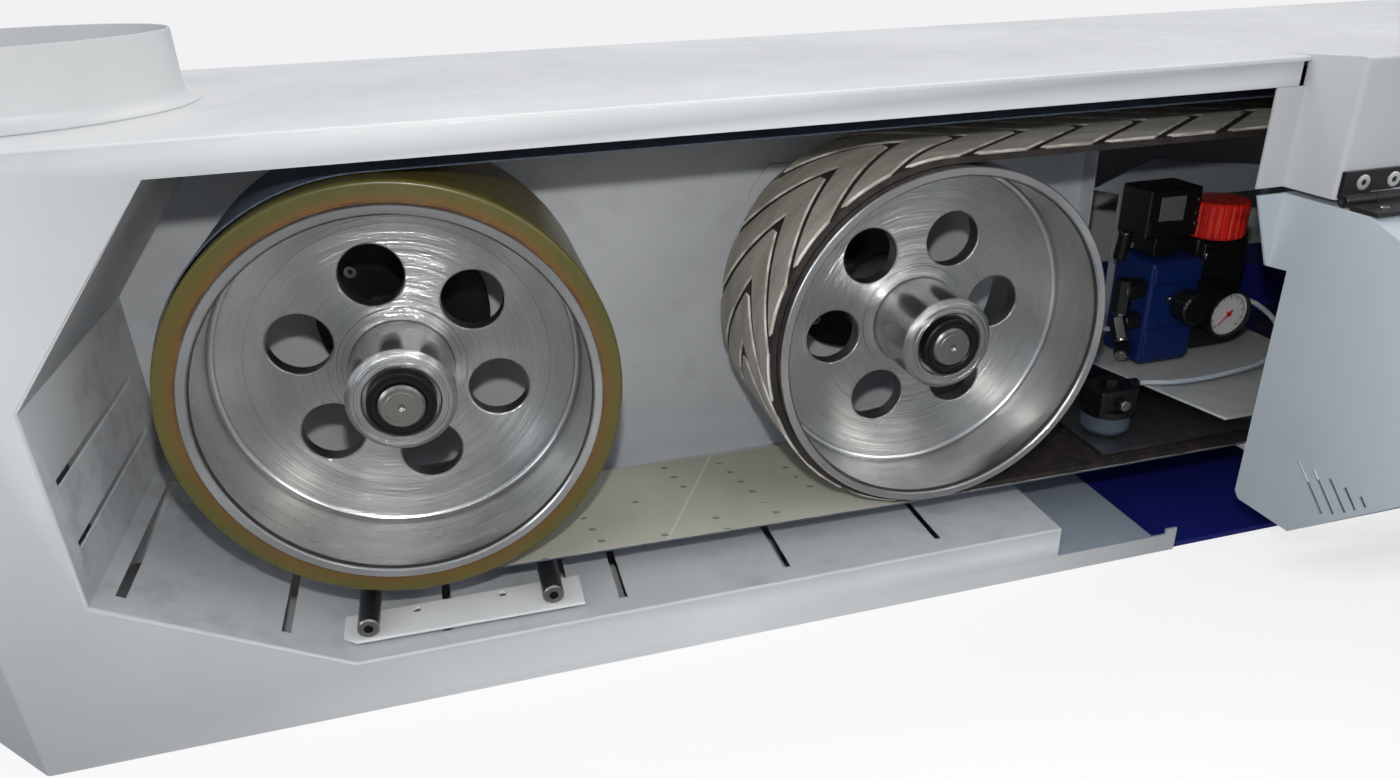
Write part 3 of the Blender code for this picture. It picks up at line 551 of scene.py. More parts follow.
def door_fold(edge):
    """True for the outer edges of the door's front: the full-width bends and those of its two sides."""
    a, b = ends_of(edge)
    outside = max(a.y, b.y) < FRONT - 0.09
    long_bend = abs(a.x - b.x) > 1.9 * DOOR_HALF
    return outside and (long_bend or min(abs(a.x), abs(b.x)) > DOOR_HALF)


folded("centre_hood", [shell_paint], [(hood_fold, HOOD_BEND)])
folded("front_door", [door_paint], [(door_fold, DOOR_BEND)], body="door_body")

# %% [markdown]
# ## Turned metal
# A turned face shines in bands because its fine grooves run in circles. A noise read at the distance from
# the drum's own axis gives the grooves, and a slower one makes some rings duller than others. Stains and
# specks are laid over that.

# %% Turned metal and steel
OUTER = Vector((-1.256, FRONT, 0.2807))
INNER = Vector((-0.7694, FRONT, 0.2633))
DRUM_AXES = [(side * axis.x, axis.z) for axis in (OUTER, INNER) for side in (-1, 1)]


def from_axes(finish):
    """Distance from the nearest drum axis. The axes run along Y."""
    x, z = finish.along(0), finish.along(2)
    nearest = None
    for centre_x, centre_z in DRUM_AXES:
        across, high = x - centre_x, z - centre_z
        reach = (across * across + high * high).math("SQRT")
        nearest = reach if nearest is None else nearest.math("MINIMUM", reach)
    return nearest


def turned_metal(name, colour, roughness, grooves, depth):
    """Bare metal with concentric grooves about the drum axes."""
    finish = Finish(name, colour, roughness, 1.0)
    radius = from_axes(finish)
    vector = finish.node("ShaderNodeCombineXYZ", None, [radius, finish.along(1), 0.0])
    fine = finish.noise(grooves, 2.0, vector)
    slow = finish.noise(grooves * 0.06, 3.0, vector)
    smear = finish.noise(9.0, 5.0)
    speck = finish.noise(120.0, 4.0)
    darker = shade(colour, 0.70)
    stained = finish.mix(finish.spread(smear, 0.40, 0.66), darker, colour)
    finish.set("Base Color", finish.mix(finish.spread(speck, 0.56, 0.75, 0.0, 0.45), stained, darker))
    rings = finish.spread(slow, 0.3, 0.7, -0.05, 0.06)
    finish.set("Roughness", rings + finish.spread(smear, 0.35, 0.7, roughness + 0.05, roughness - 0.03))
    finish.bump(fine, depth, 1.0)
    return finish


drum_metal = turned_metal("drum_metal", tone(206, 206, 203), 0.16, 2600.0, 0.00048)
wall_metal = turned_metal("wall_metal", tone(236, 236, 233), 0.20, 2600.0, 0.00002)
rim_metal = turned_metal("rim_metal", tone(222, 222, 220), 0.20, 2600.0, 0.00006)
step_metal = turned_metal("step_metal", tone(120, 119, 116), 0.42, 900.0, 0.00003)
shaft_metal = turned_metal("shaft_metal", tone(168, 166, 160), 0.30, 2600.0, 0.00008)


def plain_steel(name, colour, roughness, metallic=1.0, grain=0.00002):
    finish = Finish(name, colour, roughness, metallic)
    cloud = finish.noise(60.0, 4.0)
    finish.set("Base Color", finish.mix(finish.spread(cloud, 0.35, 0.7), colour, shade(colour, 0.75)))
    finish.set("Roughness", finish.spread(cloud, 0.3, 0.7, roughness - 0.04, roughness + 0.08))
    finish.bump(finish.noise(900.0, 2.0), grain, 0.5)
    return finish


bright_steel = plain_steel("bright_steel", tone(188, 188, 186), 0.24)
zinc_steel = plain_steel("zinc_steel", tone(150, 150, 148), 0.34)
dark_steel = plain_steel("dark_steel", tone(62, 62, 62), 0.42, 0.6)
black_oxide = plain_steel("black_oxide", tone(22, 22, 23), 0.36, 0.4, 0.00004)
# The near-black socket finish is painted shade in screw sockets and rod-end recesses.
socket_painted_shade = plain_steel("socket_painted_shade", tone(12, 12, 12), 0.6, 0.2)
print("metals are ready")

# %% [markdown]
# ## Drums
# Four drums: two coated outer ones that carry the abrasive belt, and two bare inner ones for the lamella
# belt. Each is spun from a fine outline with a bright rim, a dark step behind it, a plain inner wall, a small
# bright fillet in the corner, and a stepped hub. Six holes with broken edges go through the web. A ray
# is sent through each hole afterwards, because a Boolean cut can fail without an error.

# %% Drums
RIM_WALL = 0.0085
DRUM_WIDTH, WEB_THICK = 0.187, 0.018
HOLE_CIRCLE, HOLE_R, HOLE_STEPS = 0.0855, 0.027, 48
FLARE, CLEARANCE = 0.0012, 0.005
WIDE_STEPS = 160
HUB_R, HUB_BORE = 0.044, 0.0307
DRUMS = {
    "outer": {"axis": OUTER, "rim": 0.1626, "front": 0.0206, "web": 0.1032, "first": 98.55},
    "inner": {"axis": INNER, "rim": 0.1642, "front": 0.0286, "web": 0.1002, "first": 65.23},
}


def drum_outline(rim, front, web):
    """Points of (radius, depth) round the section of a drum, from the back of its rim to its hub and back."""
    back, inner = front + DRUM_WIDTH, rim - RIM_WALL
    return [
        (rim - 0.0008, back),
        (rim, back - 0.0008),
        (rim, front + 0.0010),
        (rim - 0.0010, front),
        (inner + 0.0016, front),
        (inner + 0.0004, front + 0.0014),
        (inner - 0.0004, front + 0.0030),
        (inner - 0.0004, front + 0.0060),
        (inner + 0.0006, front + 0.0068),
        (inner + 0.0006, web - 0.0050),
        (inner - 0.0002, web - 0.0026),
        (inner - 0.0016, web - 0.0008),
        (inner - 0.0032, web - 0.0002),
        (inner - 0.0040, web + 0.0006),
        (inner - 0.0048, web),
        (HUB_R + 0.0110, web),
        (HUB_R + 0.0104, web - 0.0012),
        (HUB_R + 0.0040, web - 0.0014),
        (HUB_R + 0.0010, web - 0.0030),
        (HUB_R, web - 0.0060),
        (HUB_R, 0.0330),
        (HUB_R - 0.0008, 0.0318),
        (HUB_R - 0.0040, 0.0284),
        (HUB_R - 0.0050, 0.0280),
        (HUB_R - 0.0070, 0.0280),
        (HUB_R - 0.0074, 0.0286),
        (HUB_R - 0.0090, 0.0286),
        (HUB_R - 0.0094, 0.0280),
        (HUB_BORE + 0.0010, 0.0280),
        (HUB_BORE, 0.0290),
        (HUB_BORE, back - 0.0210),
        (HUB_R - 0.0010, back - 0.0210),
        (HUB_R, back - 0.0220),
        (HUB_R, web + WEB_THICK),
        (inner, web + WEB_THICK),
        (inner, back - 0.0008),
        (inner + 0.0008, back),
    ]


def hole_centres(axis, first):
    """The (x, z) of the six holes in a left drum."""
    angles = [math.radians(first + 60 * i) for i in range(6)]
    return [(axis.x + HOLE_CIRCLE * math.cos(a), axis.z + HOLE_CIRCLE * math.sin(a)) for a in angles]


def hole_tool(axis, web, first):
    """Six rods with a flared front end, which cut the holes and their broken edges."""
    bm = bmesh.new()
    for x, z in hole_centres(axis, first):
        wide, far = HOLE_R + FLARE, WEB_THICK + CLEARANCE
        outline = [(0, -CLEARANCE), (wide, -CLEARANCE), (wide, 0.0), (HOLE_R, FLARE)]
        outline += [(HOLE_R, WEB_THICK - FLARE), (wide, WEB_THICK), (wide, far), (0, far)]
        single = bmesh.new()
        turned(single, outline, Vector((x, FRONT + web, z)), "Y", HOLE_STEPS, closed=False)
        bm.from_mesh(as_mesh(single))
    return bm


def paint_faces(bm, axis, rules):
    """Gives each face the material of the first rule that its distance from the axis and its depth fit."""
    for face in bm.faces:
        middle = face.calc_center_median()
        radius = math.hypot(middle.x - axis.x, middle.z - axis.z)
        for index, test in rules:
            if test(radius, middle.y - FRONT, abs(face.normal.y)):
                face.material_index = index
                break


drum_sets = []
for label, size in DRUMS.items():
    axis, rim, front, web = size["axis"], size["rim"], size["front"], size["web"]
    bm = bmesh.new()
    turned(bm, drum_outline(rim, front, web), axis, "Y", WIDE_STEPS)
    inner = rim - RIM_WALL
    rules = [
        (1, lambda r, d, flat, r0=inner, d0=front: r > r0 + 0.0002 and d < d0 + 0.002),
        (2, lambda r, d, flat, r0=inner, d0=front: r > r0 - 0.001 and d < d0 + 0.0069),
        (1, lambda r, d, flat, r0=inner, w=web: r0 - 0.0030 < r < r0 + 0.0004 and w - 0.005 < d < w),
        (3, lambda r, d, flat: flat < 0.3),
    ]
    paint_faces(bm, axis, rules)
    cutter = hole_tool(axis, web, size["first"])
    drum_sets.append((label, "left", bm.copy(), cutter.copy()))
    drum_sets.append((label, "right", mirrored(bm), mirrored(cutter)))
    bm.free()
    cutter.free()

DRUM_BODY = "{}_{}_drum_body"
for label, end, bm, cutter in drum_sets:
    name = f"{end}_{label}_drum"
    finishes = [drum_metal, rim_metal, step_metal, wall_metal]
    obj = finished(f"{name}_turned", bm, finishes, DRUM_BODY.format(end, label), [name])
    pierced(obj, as_mesh(cutter))
    side = 1 if end == "left" else -1
    centres = hole_centres(DRUMS[label]["axis"], DRUMS[label]["first"])
    starts = [Vector((side * x, FRONT - 0.1, z)) for x, z in centres]
    open_holes = sum(not obj.ray_cast(start, AXES["Y"], distance=0.5)[0] for start in starts)
    print(obj.name, len(obj.data.polygons), "faces,", open_holes, "of 6 holes go through")

# %% [markdown]
# ## Coated tyres, lock rings and axles
# The outer drums wear a coat of amber polyurethane that has aged unevenly, more so near the rim. The axle
# ends show a turned face with a centre hole, held by a black clamp ring. A bolted flange behind each drum
# stands for its hidden support.

# %% Coat of the outer drums
coat_pu = Finish("polyurethane", tone(118, 112, 68), 0.38, 0.0, Coat_Weight=0.25, Coat_Roughness=0.25)
cloud = coat_pu.noise(6.0, 3.0)
fine = coat_pu.noise(70.0, 5.0)
old = coat_pu.mix(coat_pu.spread(cloud, 0.38, 0.62), tone(80, 77, 28), tone(100, 86, 34))
near_rim = coat_pu.spread(from_axes(coat_pu), 0.1640, 0.1725, 0.8, 0.0)
aged = coat_pu.mix(near_rim, old, tone(112, 74, 30))
coat_pu.set("Base Color", coat_pu.mix(coat_pu.spread(fine, 0.55, 0.72, 0.0, 0.5), aged, tone(82, 68, 30)))
coat_pu.set("Roughness", coat_pu.spread(fine, 0.3, 0.7, 0.30, 0.50))
coat_pu.bump(coat_pu.noise(300.0, 2.0), 0.00008, 0.4)
glue_line = Finish("glue_line", tone(84, 58, 40), 0.5)
glue_line.mottled(25.0, tone(92, 60, 42), tone(112, 84, 48))

TYRE_R, RIM_R = 0.180, 0.1629
TYRE_FRONT, TYRE_BACK = 0.0242, 0.2076
ROUND = 0.0035


def quarter(radius, along, from_angle, to_angle, size, steps=5):
    """Points of a rounded corner about (radius, along)."""
    made = []
    for i in range(steps + 1):
        angle = math.radians(from_angle + (to_angle - from_angle) * i / steps)
        made.append((radius + size * math.cos(angle), along + size * math.sin(angle)))
    return made


tyre_outline = [(RIM_R, TYRE_FRONT), (RIM_R + 0.0016, TYRE_FRONT - 0.0004), (RIM_R + 0.0018, TYRE_FRONT)]
tyre_outline += quarter(TYRE_R - ROUND, TYRE_FRONT + ROUND, -90, 0, ROUND)
tyre_outline += quarter(TYRE_R - ROUND, TYRE_BACK - ROUND, 0, 90, ROUND)
tyre_outline += [(RIM_R, TYRE_BACK)]
bm = bmesh.new()
turned(bm, tyre_outline, OUTER, "Y", WIDE_STEPS)
paint_faces(bm, OUTER, [(1, lambda r, d, flat: r < RIM_R + 0.0017 and d < TYRE_FRONT + 0.001)])
for end, made in at_both_ends(bm):
    body, solid = f"{end}_outer_drum_body", f"{end}_outer_drum_tyre"
    finished(f"{solid}_coat", made, [coat_pu, glue_line], body, [solid])
print("two coated drums, radius", TYRE_R)

# %% Lock rings, axles and flanges
RING_OUT, RING_IN, RING_FRONT, RING_BACK = 0.0275, 0.0189, 0.0222, 0.0335
SHAFT_R, SHAFT_BACK = 0.0186, 0.2882
SHAFT_ENDS = {"outer": 0.0171, "inner": 0.0211}
ring_outline = [
    (RING_IN, RING_BACK),
    (RING_IN, RING_FRONT + 0.0012),
    (RING_IN + 0.0012, RING_FRONT),
    (RING_OUT - 0.0040, RING_FRONT),
    (RING_OUT - 0.0036, RING_FRONT + 0.0008),
    (RING_OUT - 0.0026, RING_FRONT + 0.0008),
    (RING_OUT - 0.0022, RING_FRONT),
    (RING_OUT - 0.0012, RING_FRONT),
    (RING_OUT, RING_FRONT + 0.0012),
    (RING_OUT, RING_BACK),
]
FLANGE_R, FLANGE_FRONT, FLANGE_BACK = 0.084, 0.2405, 0.2642
BOLT_CIRCLE, BOLT_R, BOLT_HEIGHT = 0.066, 0.0065, 0.004
SOCKET_SHARE = 0.42
flange_outline = [
    (SHAFT_R, FLANGE_BACK),
    (SHAFT_R, FLANGE_FRONT),
    (FLANGE_R - 0.0015, FLANGE_FRONT),
    (FLANGE_R, FLANGE_FRONT + 0.0015),
    (FLANGE_R, FLANGE_BACK),
]


def screw(bm, place, axis, radius, height=0.0012, first=0):
    """A bevelled head along axis in material first, with painted shade in its socket in the next one."""
    head = bmesh.new()
    socket = radius * SOCKET_SHARE
    outline = [(0, -0.0002), (radius, -0.0002), (radius, height * 0.6), (radius * 0.88, height)]
    outline += [(socket, height), (socket, height * 0.3), (0, height * 0.3)]
    turned(head, outline, Vector((0, 0, 0)), "Z", 36, closed=False)
    matrix = Matrix.Translation((0, 0, height * 0.36))
    size = {"radius1": socket, "radius2": socket, "depth": 0.0001}
    hexagon = bmesh.ops.create_cone(head, cap_ends=True, segments=6, matrix=matrix, **size)
    dark = set(hexagon["verts"])
    for face in head.faces:
        face.material_index = first + int(all(vert in dark for vert in face.verts))
    turn = Vector(axis).to_track_quat("Z", "Y").to_matrix().to_4x4()
    bmesh.ops.transform(head, matrix=Matrix.Translation(place) @ turn, verts=head.verts)
    bm.from_mesh(as_mesh(head))


for label, front in SHAFT_ENDS.items():
    axis = DRUMS[label]["axis"]
    shaft_outline = [
        (0.0, front + 0.0030),
        (0.0022, front + 0.0008),
        (0.0032, front),
        (SHAFT_R - 0.0058, front),
        (SHAFT_R - 0.0054, front + 0.0004),
        (SHAFT_R - 0.0020, front + 0.0004),
        (SHAFT_R, front + 0.0024),
        (SHAFT_R, SHAFT_BACK),
        (0.0, SHAFT_BACK),
    ]
    shaft, ring = bmesh.new(), bmesh.new()
    turned(shaft, shaft_outline, axis, "Y", 64, closed=False)
    turned(ring, ring_outline, axis, "Y", 64)
    for end in ("left", "right"):
        body = f"left_{label}_carriage_body" if end == "left" else f"right_{label}_drum_body"
        made = (shaft.copy(), ring.copy()) if end == "left" else (mirrored(shaft), mirrored(ring))
        axle, lock = f"{end}_{label}_axle", f"{end}_{label}_lock_ring"
        finished(f"{axle}_turned", made[0], [shaft_metal], body, [axle])
        finished(f"{lock}_clamp", made[1], [black_oxide], body, [lock])
        flange = bmesh.new()
        centre = axis if end == "left" else Vector((-axis.x, axis.y, axis.z))
        turned(flange, flange_outline, centre, "Y", 72)
        for angle in (41, 131, 221, 311):
            offset = Vector((math.cos(math.radians(angle)), 0, math.sin(math.radians(angle)))) * BOLT_CIRCLE
            place = centre + offset + Vector((0, FLANGE_FRONT, 0))
            screw(flange, place, (0, -1, 0), BOLT_R, BOLT_HEIGHT, first=1)
        finishes = [black_oxide, bright_steel, socket_painted_shade]
        finished(f"{end}_{label}_axle_flange", flange, finishes, body)
    shaft.free()
    ring.free()

print("axle ends at depth", SHAFT_ENDS)

# %% [markdown]
# ## Lamella belt
# The inner belt carries 64 V-shaped felt lamellas on a rubber base, with narrow grooves between them. One
# lamella is modelled flat. Its bevelled top edges are painted pale as a highlight, and its sides are painted
# in the dark rubber tone as shade in the grooves. It is copied at each pitch, and every point is then bent
# round the two inner drums. Along the strip s runs clockwise as seen from the front, and starts on top of the
# left drum.

# %% Lamella belt
BASE_R, BASE_THICK, LAMELLA_HEIGHT = 0.1705, 0.0058, 0.0025
BELT_FRONT, BELT_WIDTH = 0.040, 0.153
SPAN = 2 * abs(INNER.x)
ARC = math.pi * BASE_R
LOOP = 2 * (SPAN + ARC)
LAMELLAS = 64
PITCH = LOOP / LAMELLAS
SWEEP = 0.103
FIRST_GROOVE = 0.0069
GROOVE = 0.0050
TIP_CUT, CORNER_CUT = 0.0075, 0.0085
NOTCH = 0.0035
SUNK, HIGHLIGHT_BEVEL = 0.0004, 0.0016
SLICE = 0.0108
BASE_CUTS = 383


def on_loop(s, w, h):
    """Bends a flat strip round the inner drums: s along it, w back from its front, h above its base."""
    s %= LOOP
    reach = BASE_R + h
    if s < SPAN:
        return at(INNER.x + s, BELT_FRONT + w, INNER.z + reach)
    s -= SPAN
    if s < ARC:
        angle = math.pi / 2 - s / BASE_R
        return at(-INNER.x + reach * math.cos(angle), BELT_FRONT + w, INNER.z + reach * math.sin(angle))
    s -= ARC
    if s < SPAN:
        return at(-INNER.x - s, BELT_FRONT + w, INNER.z - reach)
    angle = -math.pi / 2 - (s - SPAN) / BASE_R
    return at(INNER.x + reach * math.cos(angle), BELT_FRONT + w, INNER.z + reach * math.sin(angle))


def flat_lamella():
    """One V-shaped lamella on the flat strip, between two grooves, with bevelled top edges."""
    half = BELT_WIDTH / 2
    steep = SWEEP / half
    back_cut = TIP_CUT / steep
    left, right = GROOVE, PITCH - GROOVE
    edge = 0.0006
    outline = [
        (left + CORNER_CUT, edge),
        (right, edge),
        (right + SWEEP - TIP_CUT, half - back_cut),
        (right + SWEEP - TIP_CUT, half + back_cut),
        (right, BELT_WIDTH - edge),
        (left + CORNER_CUT, BELT_WIDTH - edge),
        (left + NOTCH * steep, BELT_WIDTH - NOTCH),
        (left + SWEEP, half),
        (left + NOTCH * steep, NOTCH),
    ]
    bm = bmesh.new()
    thickened(bm, [(s, w, -SUNK) for s, w in outline], (0, 0, LAMELLA_HEIGHT + SUNK))
    bmesh.ops.recalc_face_normals(bm, faces=bm.faces)
    top = [e for e in bm.edges if all(v.co.z > 0.001 for v in e.verts)]
    # The bevel faces get material 1, a pale tone that paints the highlight on the lamella's top edges.
    bmesh.ops.bevel(bm, geom=top, offset=HIGHLIGHT_BEVEL, affect="EDGES", segments=1, profile=0.5, material=1)
    # Sides facing the grooves get material 2, the dark rubber tone, as painted shade in the grooves.
    for face in bm.faces:
        if abs(face.normal.z) < 0.3 and face.calc_center_median().y > 0.002:
            face.material_index = 2
    bmesh.ops.triangulate(bm, faces=[f for f in bm.faces if len(f.verts) > 4])
    for i in range(1, math.ceil((PITCH + SWEEP) / SLICE)):
        geom = bm.verts[:] + bm.edges[:] + bm.faces[:]
        bmesh.ops.bisect_plane(bm, geom=geom, plane_co=(i * SLICE, 0, 0), plane_no=(1, 0, 0))
    return bm


def worn(value):
    """A small, uneven lift of the felt's top."""
    return 0.0002 * noise.noise(Vector(value) * 90)


one_mesh = as_mesh(flat_lamella())
bm = bmesh.new()
for i in range(LAMELLAS):
    before = len(bm.verts)
    bm.from_mesh(one_mesh)
    bm.verts.ensure_lookup_table()
    for vert in bm.verts[before:]:
        s, w, h = vert.co
        s += FIRST_GROOVE + i * PITCH
        vert.co = on_loop(s, w, h + worn((s, w, 0.3)) if h > 0.002 else h)
base = bmesh.new()
block(base, Vector((0, 0, -BASE_THICK)), Vector((LOOP, BELT_WIDTH, 0)))
ends = [f for f in base.faces if abs(f.normal.x) > 0.5]
bmesh.ops.delete(base, geom=ends, context="FACES_ONLY")
long_edges = [e for e in base.edges if abs(e.verts[0].co.x - e.verts[1].co.x) > 1]
bmesh.ops.subdivide_edges(base, edges=long_edges, cuts=BASE_CUTS, use_grid_fill=True)
for vert in base.verts:
    s, w, h = vert.co
    vert.co = on_loop(min(s, LOOP - 1e-7), w, h)
bmesh.ops.remove_doubles(base, verts=base.verts, dist=1e-5)
for face in base.faces:
    face.material_index = 2
bm.from_mesh(as_mesh(base))
bmesh.ops.recalc_face_normals(bm, faces=bm.faces)

felt = Finish("lamella_felt", tone(168, 160, 148), 0.85, 0.0, Sheen_Weight=0.15)
streaks = felt.noise(14.0, 6.0, felt.stretched((1.0, 3.0, 1.0)))
felt_tone = felt.mix(felt.spread(streaks, 0.36, 0.64), tone(146, 139, 128), tone(176, 169, 158))
grit = felt.noise(240.0, 3.0)
felt.set("Base Color", felt.mix(felt.spread(grit, 0.55, 0.7, 0.0, 0.35), felt_tone, tone(110, 104, 98)))
felt.bump(felt.noise(700.0, 4.0), 0.0004, 0.5)
# The pale edge tone is a painted highlight on the lamellas' bevelled top edges.
felt_edge_highlight = Finish("lamella_edge_highlight", tone(212, 208, 198), 0.7)
felt_edge_highlight.mottled(45.0, tone(222, 219, 210), tone(158, 150, 138), detail=5.0, high=0.64)
# The dark rubber tone is the belt's real base, and on the lamellas' sides it is painted shade in the grooves.
rubber_and_groove_shade = Finish("belt_rubber_and_groove_shade", tone(58, 50, 46), 0.75)
rubber_and_groove_shade.mottled(60.0, tone(30, 25, 24), tone(54, 44, 40), detail=4.0, high=0.65)
finishes = [felt, felt_edge_highlight, rubber_and_groove_shade]
belt = finished("lamella_belt_v", bm, finishes, HEAD, ["lamella_belt"], sharp=25)
print("lamella belt:", round(LOOP, 3), "m round,", LAMELLAS, "lamellas,", len(belt.data.polygons), "faces")

# %% [markdown]
# ## Abrasive belt
# The outer belt is a loop of sanding cloth over all four drums: smooth beige cloth inside and blue-grey grit
# outside. Its path is the tangent loop round the drums. A diagonal splice and rows of faint ink ticks show on
# the cloth.

# %% Abrasive belt
CLOTH_FRONT, CLOTH_BACK, CLOTH_THICK = 0.043, 0.193, 0.0012
OUTER_BEND, INNER_BEND = 0.1815, 0.17397
PULLEYS = [
    (OUTER.x, OUTER.z, OUTER_BEND),
    (INNER.x, INNER.z, INNER_BEND),
    (-INNER.x, INNER.z, INNER_BEND),
    (-OUTER.x, OUTER.z, OUTER_BEND),
]


def tangent_loop(pulleys, step=math.radians(3)):
    """The centre, radius and outward direction of each point round the pulleys, counter-clockwise."""
    turns = []
    for (x0, z0, r0), (x1, z1, r1) in zip(pulleys, pulleys[1:] + pulleys[:1]):
        across = Vector((x1 - x0, z1 - z0))
        lean = math.asin((r0 - r1) / across.length)
        turns.append(math.atan2(across.y, across.x) - math.pi / 2 + lean)
    points = []
    for i, (x, z, radius) in enumerate(pulleys):
        start, stop = turns[i - 1], turns[i]
        sweep = (stop - start) % math.tau
        count = max(1, math.ceil(sweep / step))
        for k in range(count + 1):
            angle = start + sweep * k / count
            points.append((Vector((x, 0, z)), radius, Vector((math.cos(angle), 0, math.sin(angle)))))
    return points


def swept(bm, sections):
    """Skins a closed run of sections by extruding the first ring of points from place to place."""
    ring = [bm.verts.new(point) for point in sections[0]]
    edges = [bm.edges.new(pair) for pair in zip(ring, ring[1:] + ring[:1])]
    for section in sections[1:] + sections[:1]:
        order = {tuple(vert.co): i for i, vert in enumerate(ring)}
        made = bmesh.ops.extrude_edge_only(bm, edges=edges)["geom"]
        edges = [g for g in made if isinstance(g, bmesh.types.BMEdge) and all(v in made for v in g.verts)]
        moved = [g for g in made if isinstance(g, bmesh.types.BMVert)]
        ring = sorted(moved, key=lambda vert: order[tuple(vert.co)])
        for vert, point in zip(ring, section):
            vert.co = point
    bmesh.ops.remove_doubles(bm, verts=bm.verts, dist=1e-6)
    bmesh.ops.recalc_face_normals(bm, faces=bm.faces)


sections = []
for centre, radius, out in tangent_loop(PULLEYS):
    inside, outside = centre + out * radius, centre + out * (radius + CLOTH_THICK)
    corners = [(inside, CLOTH_FRONT), (outside, CLOTH_FRONT), (outside, CLOTH_BACK), (inside, CLOTH_BACK)]
    sections.append([Vector((p.x, FRONT + depth, p.z)) for p, depth in corners])
bm = bmesh.new()
swept(bm, sections)
for face in bm.faces:
    middle = face.calc_center_median()
    inward = Vector((-middle.x, 0, INNER.z - middle.z))
    face.material_index = 0 if face.normal.dot(inward) > 0.002 and abs(face.normal.y) < 0.5 else 1

cloth = Finish("cloth_back", tone(190, 186, 166), 0.8)
smoke = cloth.noise(7.0, 5.0)
weave = cloth.noise(420.0, 2.0)
plain = cloth.mix(cloth.spread(smoke, 0.36, 0.66), tone(180, 179, 164), tone(198, 197, 184))
x, y, z = cloth.along(0), cloth.along(1), cloth.along(2)
splice_run = (x + 0.954) * 1.781 - (y - (FRONT + 0.199))
on_splice = (splice_run.math("ABSOLUTE") < 0.0022) * (z < 0.15) * (x < -0.9)
row = (x * 17.0 + y * 4.0).math("FRACT")
tick = (y * 46.0 + x * 5.0).math("FRACT")
ink = (row < 0.11) * (tick < 0.20) * (cloth.noise(26.0, 1.0) > 0.5)
marked = cloth.mix(ink * 0.62, plain, tone(74, 74, 78))
cloth.set("Base Color", cloth.mix(on_splice * 0.5, marked, tone(226, 224, 210)))
cloth.bump(weave, 0.0002, 0.5)
grit_side = Finish("grit_side", tone(74, 86, 104), 0.8)
grain = grit_side.noise(800.0, 2.0)
grain_share = grit_side.spread(grain, 0.35, 0.65)
grit_side.set("Base Color", grit_side.mix(grain_share, tone(58, 68, 84), tone(100, 112, 130)))
grit_side.bump(grain, 0.0005, 0.7)
finishes = [cloth, grit_side]
belt = finished("abrasive_belt_loop", bm, finishes, HEAD, ["abrasive_belt"], sharp=25)
print("abrasive belt:", len(belt.data.polygons), "faces")

# %% [markdown]
# ## Small hardware
# The hinge leaves with their screws, and the belt-rest rods. A screw head is a low spun disc with a six-sided
# socket in it, and a near-black disc of painted shade sits in the socket.

# %% Screws, hinges and rods
zinc_plate = plain_steel("zinc_plate", tone(232, 232, 226), 0.42, 0.7)
black_paint = powder_coat("black_paint", tone(34, 34, 35), dusty=0.2, roughness=0.32)
HINGE_SCREWS = (-0.4388, -0.4064)
for end, side in (("left", 1), ("right", -1)):
    folded(f"{end}_hinge_fixed_leaf", [black_paint], edge=0.0005)
    folded(f"{end}_hinge_door_leaf", [dark_steel], edge=0.0005, body="door_body")
    bm = bmesh.new()
    for x in HINGE_SCREWS:
        screw(bm, at(side * x, -0.0608, 0.4040), (0, -1, 0), 0.0066)
    finished(f"{end}_hinge_screws", bm, [zinc_plate, socket_painted_shade])
    bm = bmesh.new()
    for x in HINGE_SCREWS:
        screw(bm, at(side * x, -0.0865, 0.3880), (0, 0, 1), 0.0040)
    finished(f"{end}_hinge_leaf_screws", bm, [bright_steel, socket_painted_shade], "door_body")

ROD_R, ROD_FRONT, ROD_BACK, ROD_Z = 0.0095, 0.019, 0.2652, 0.0738
rod_outline = [
    (0.0, 0.0030),
    (0.0036, 0.0030),
    (0.0040, 0.0),
    (ROD_R - 0.0012, 0.0),
    (ROD_R, 0.0014),
    (ROD_R, ROD_BACK - ROD_FRONT),
    (0.0, ROD_BACK - ROD_FRONT),
]
for number, x in ((1, -1.3165), (2, -1.1545)):
    bm = bmesh.new()
    turned(bm, rod_outline, at(x, ROD_FRONT, ROD_Z), "Y", 48, closed=False)
    # The recess in each rod's end gets the socket finish, which is painted shade.
    paint_faces(bm, Vector((x, FRONT, ROD_Z)), [(1, lambda r, d, flat: r < 0.0041 and d < ROD_FRONT + 0.004)])
    for end, made in at_both_ends(bm):
        solid = f"{end}_belt_rest_rod_{number}"
        if solid in frame["nodes"]:
            finished(f"{solid}_turned", made, [zinc_steel, socket_painted_shade], HEAD, [solid])

# %% [markdown]
# ## Dust ports and handle
# Each port is a thin rolled collar welded to the roof, so it has a soft fillet round its foot.

# %% Dust ports and door handle
PORT_R, PORT_RISE, PORT_WALL = 0.125, 0.0565, 0.002
low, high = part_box("left_dust_port")
port_axis = Vector(((low.x + high.x) / 2, (low.y + high.y) / 2, ROOF))
fillet = [(PORT_R + 0.011 - 0.011 * math.sin(math.radians(a)), 0.0115 - 0.0112 * math.cos(math.radians(a)))
          for a in range(0, 91, 15)]
port_outline = [(PORT_R - PORT_WALL, 0.0003)] + fillet
port_outline += [(PORT_R, PORT_RISE - 0.0008), (PORT_R - 0.0006, PORT_RISE)]
port_outline += [(PORT_R - PORT_WALL + 0.0006, PORT_RISE), (PORT_R - PORT_WALL, PORT_RISE - 0.0008)]
bm = bmesh.new()
turned(bm, port_outline, port_axis, "Z", WIDE_STEPS)
for end, made in at_both_ends(bm):
    solid = f"{end}_dust_port"
    finished(f"{solid}_collar", made, [shell_paint], HEAD, [solid], sharp=50)

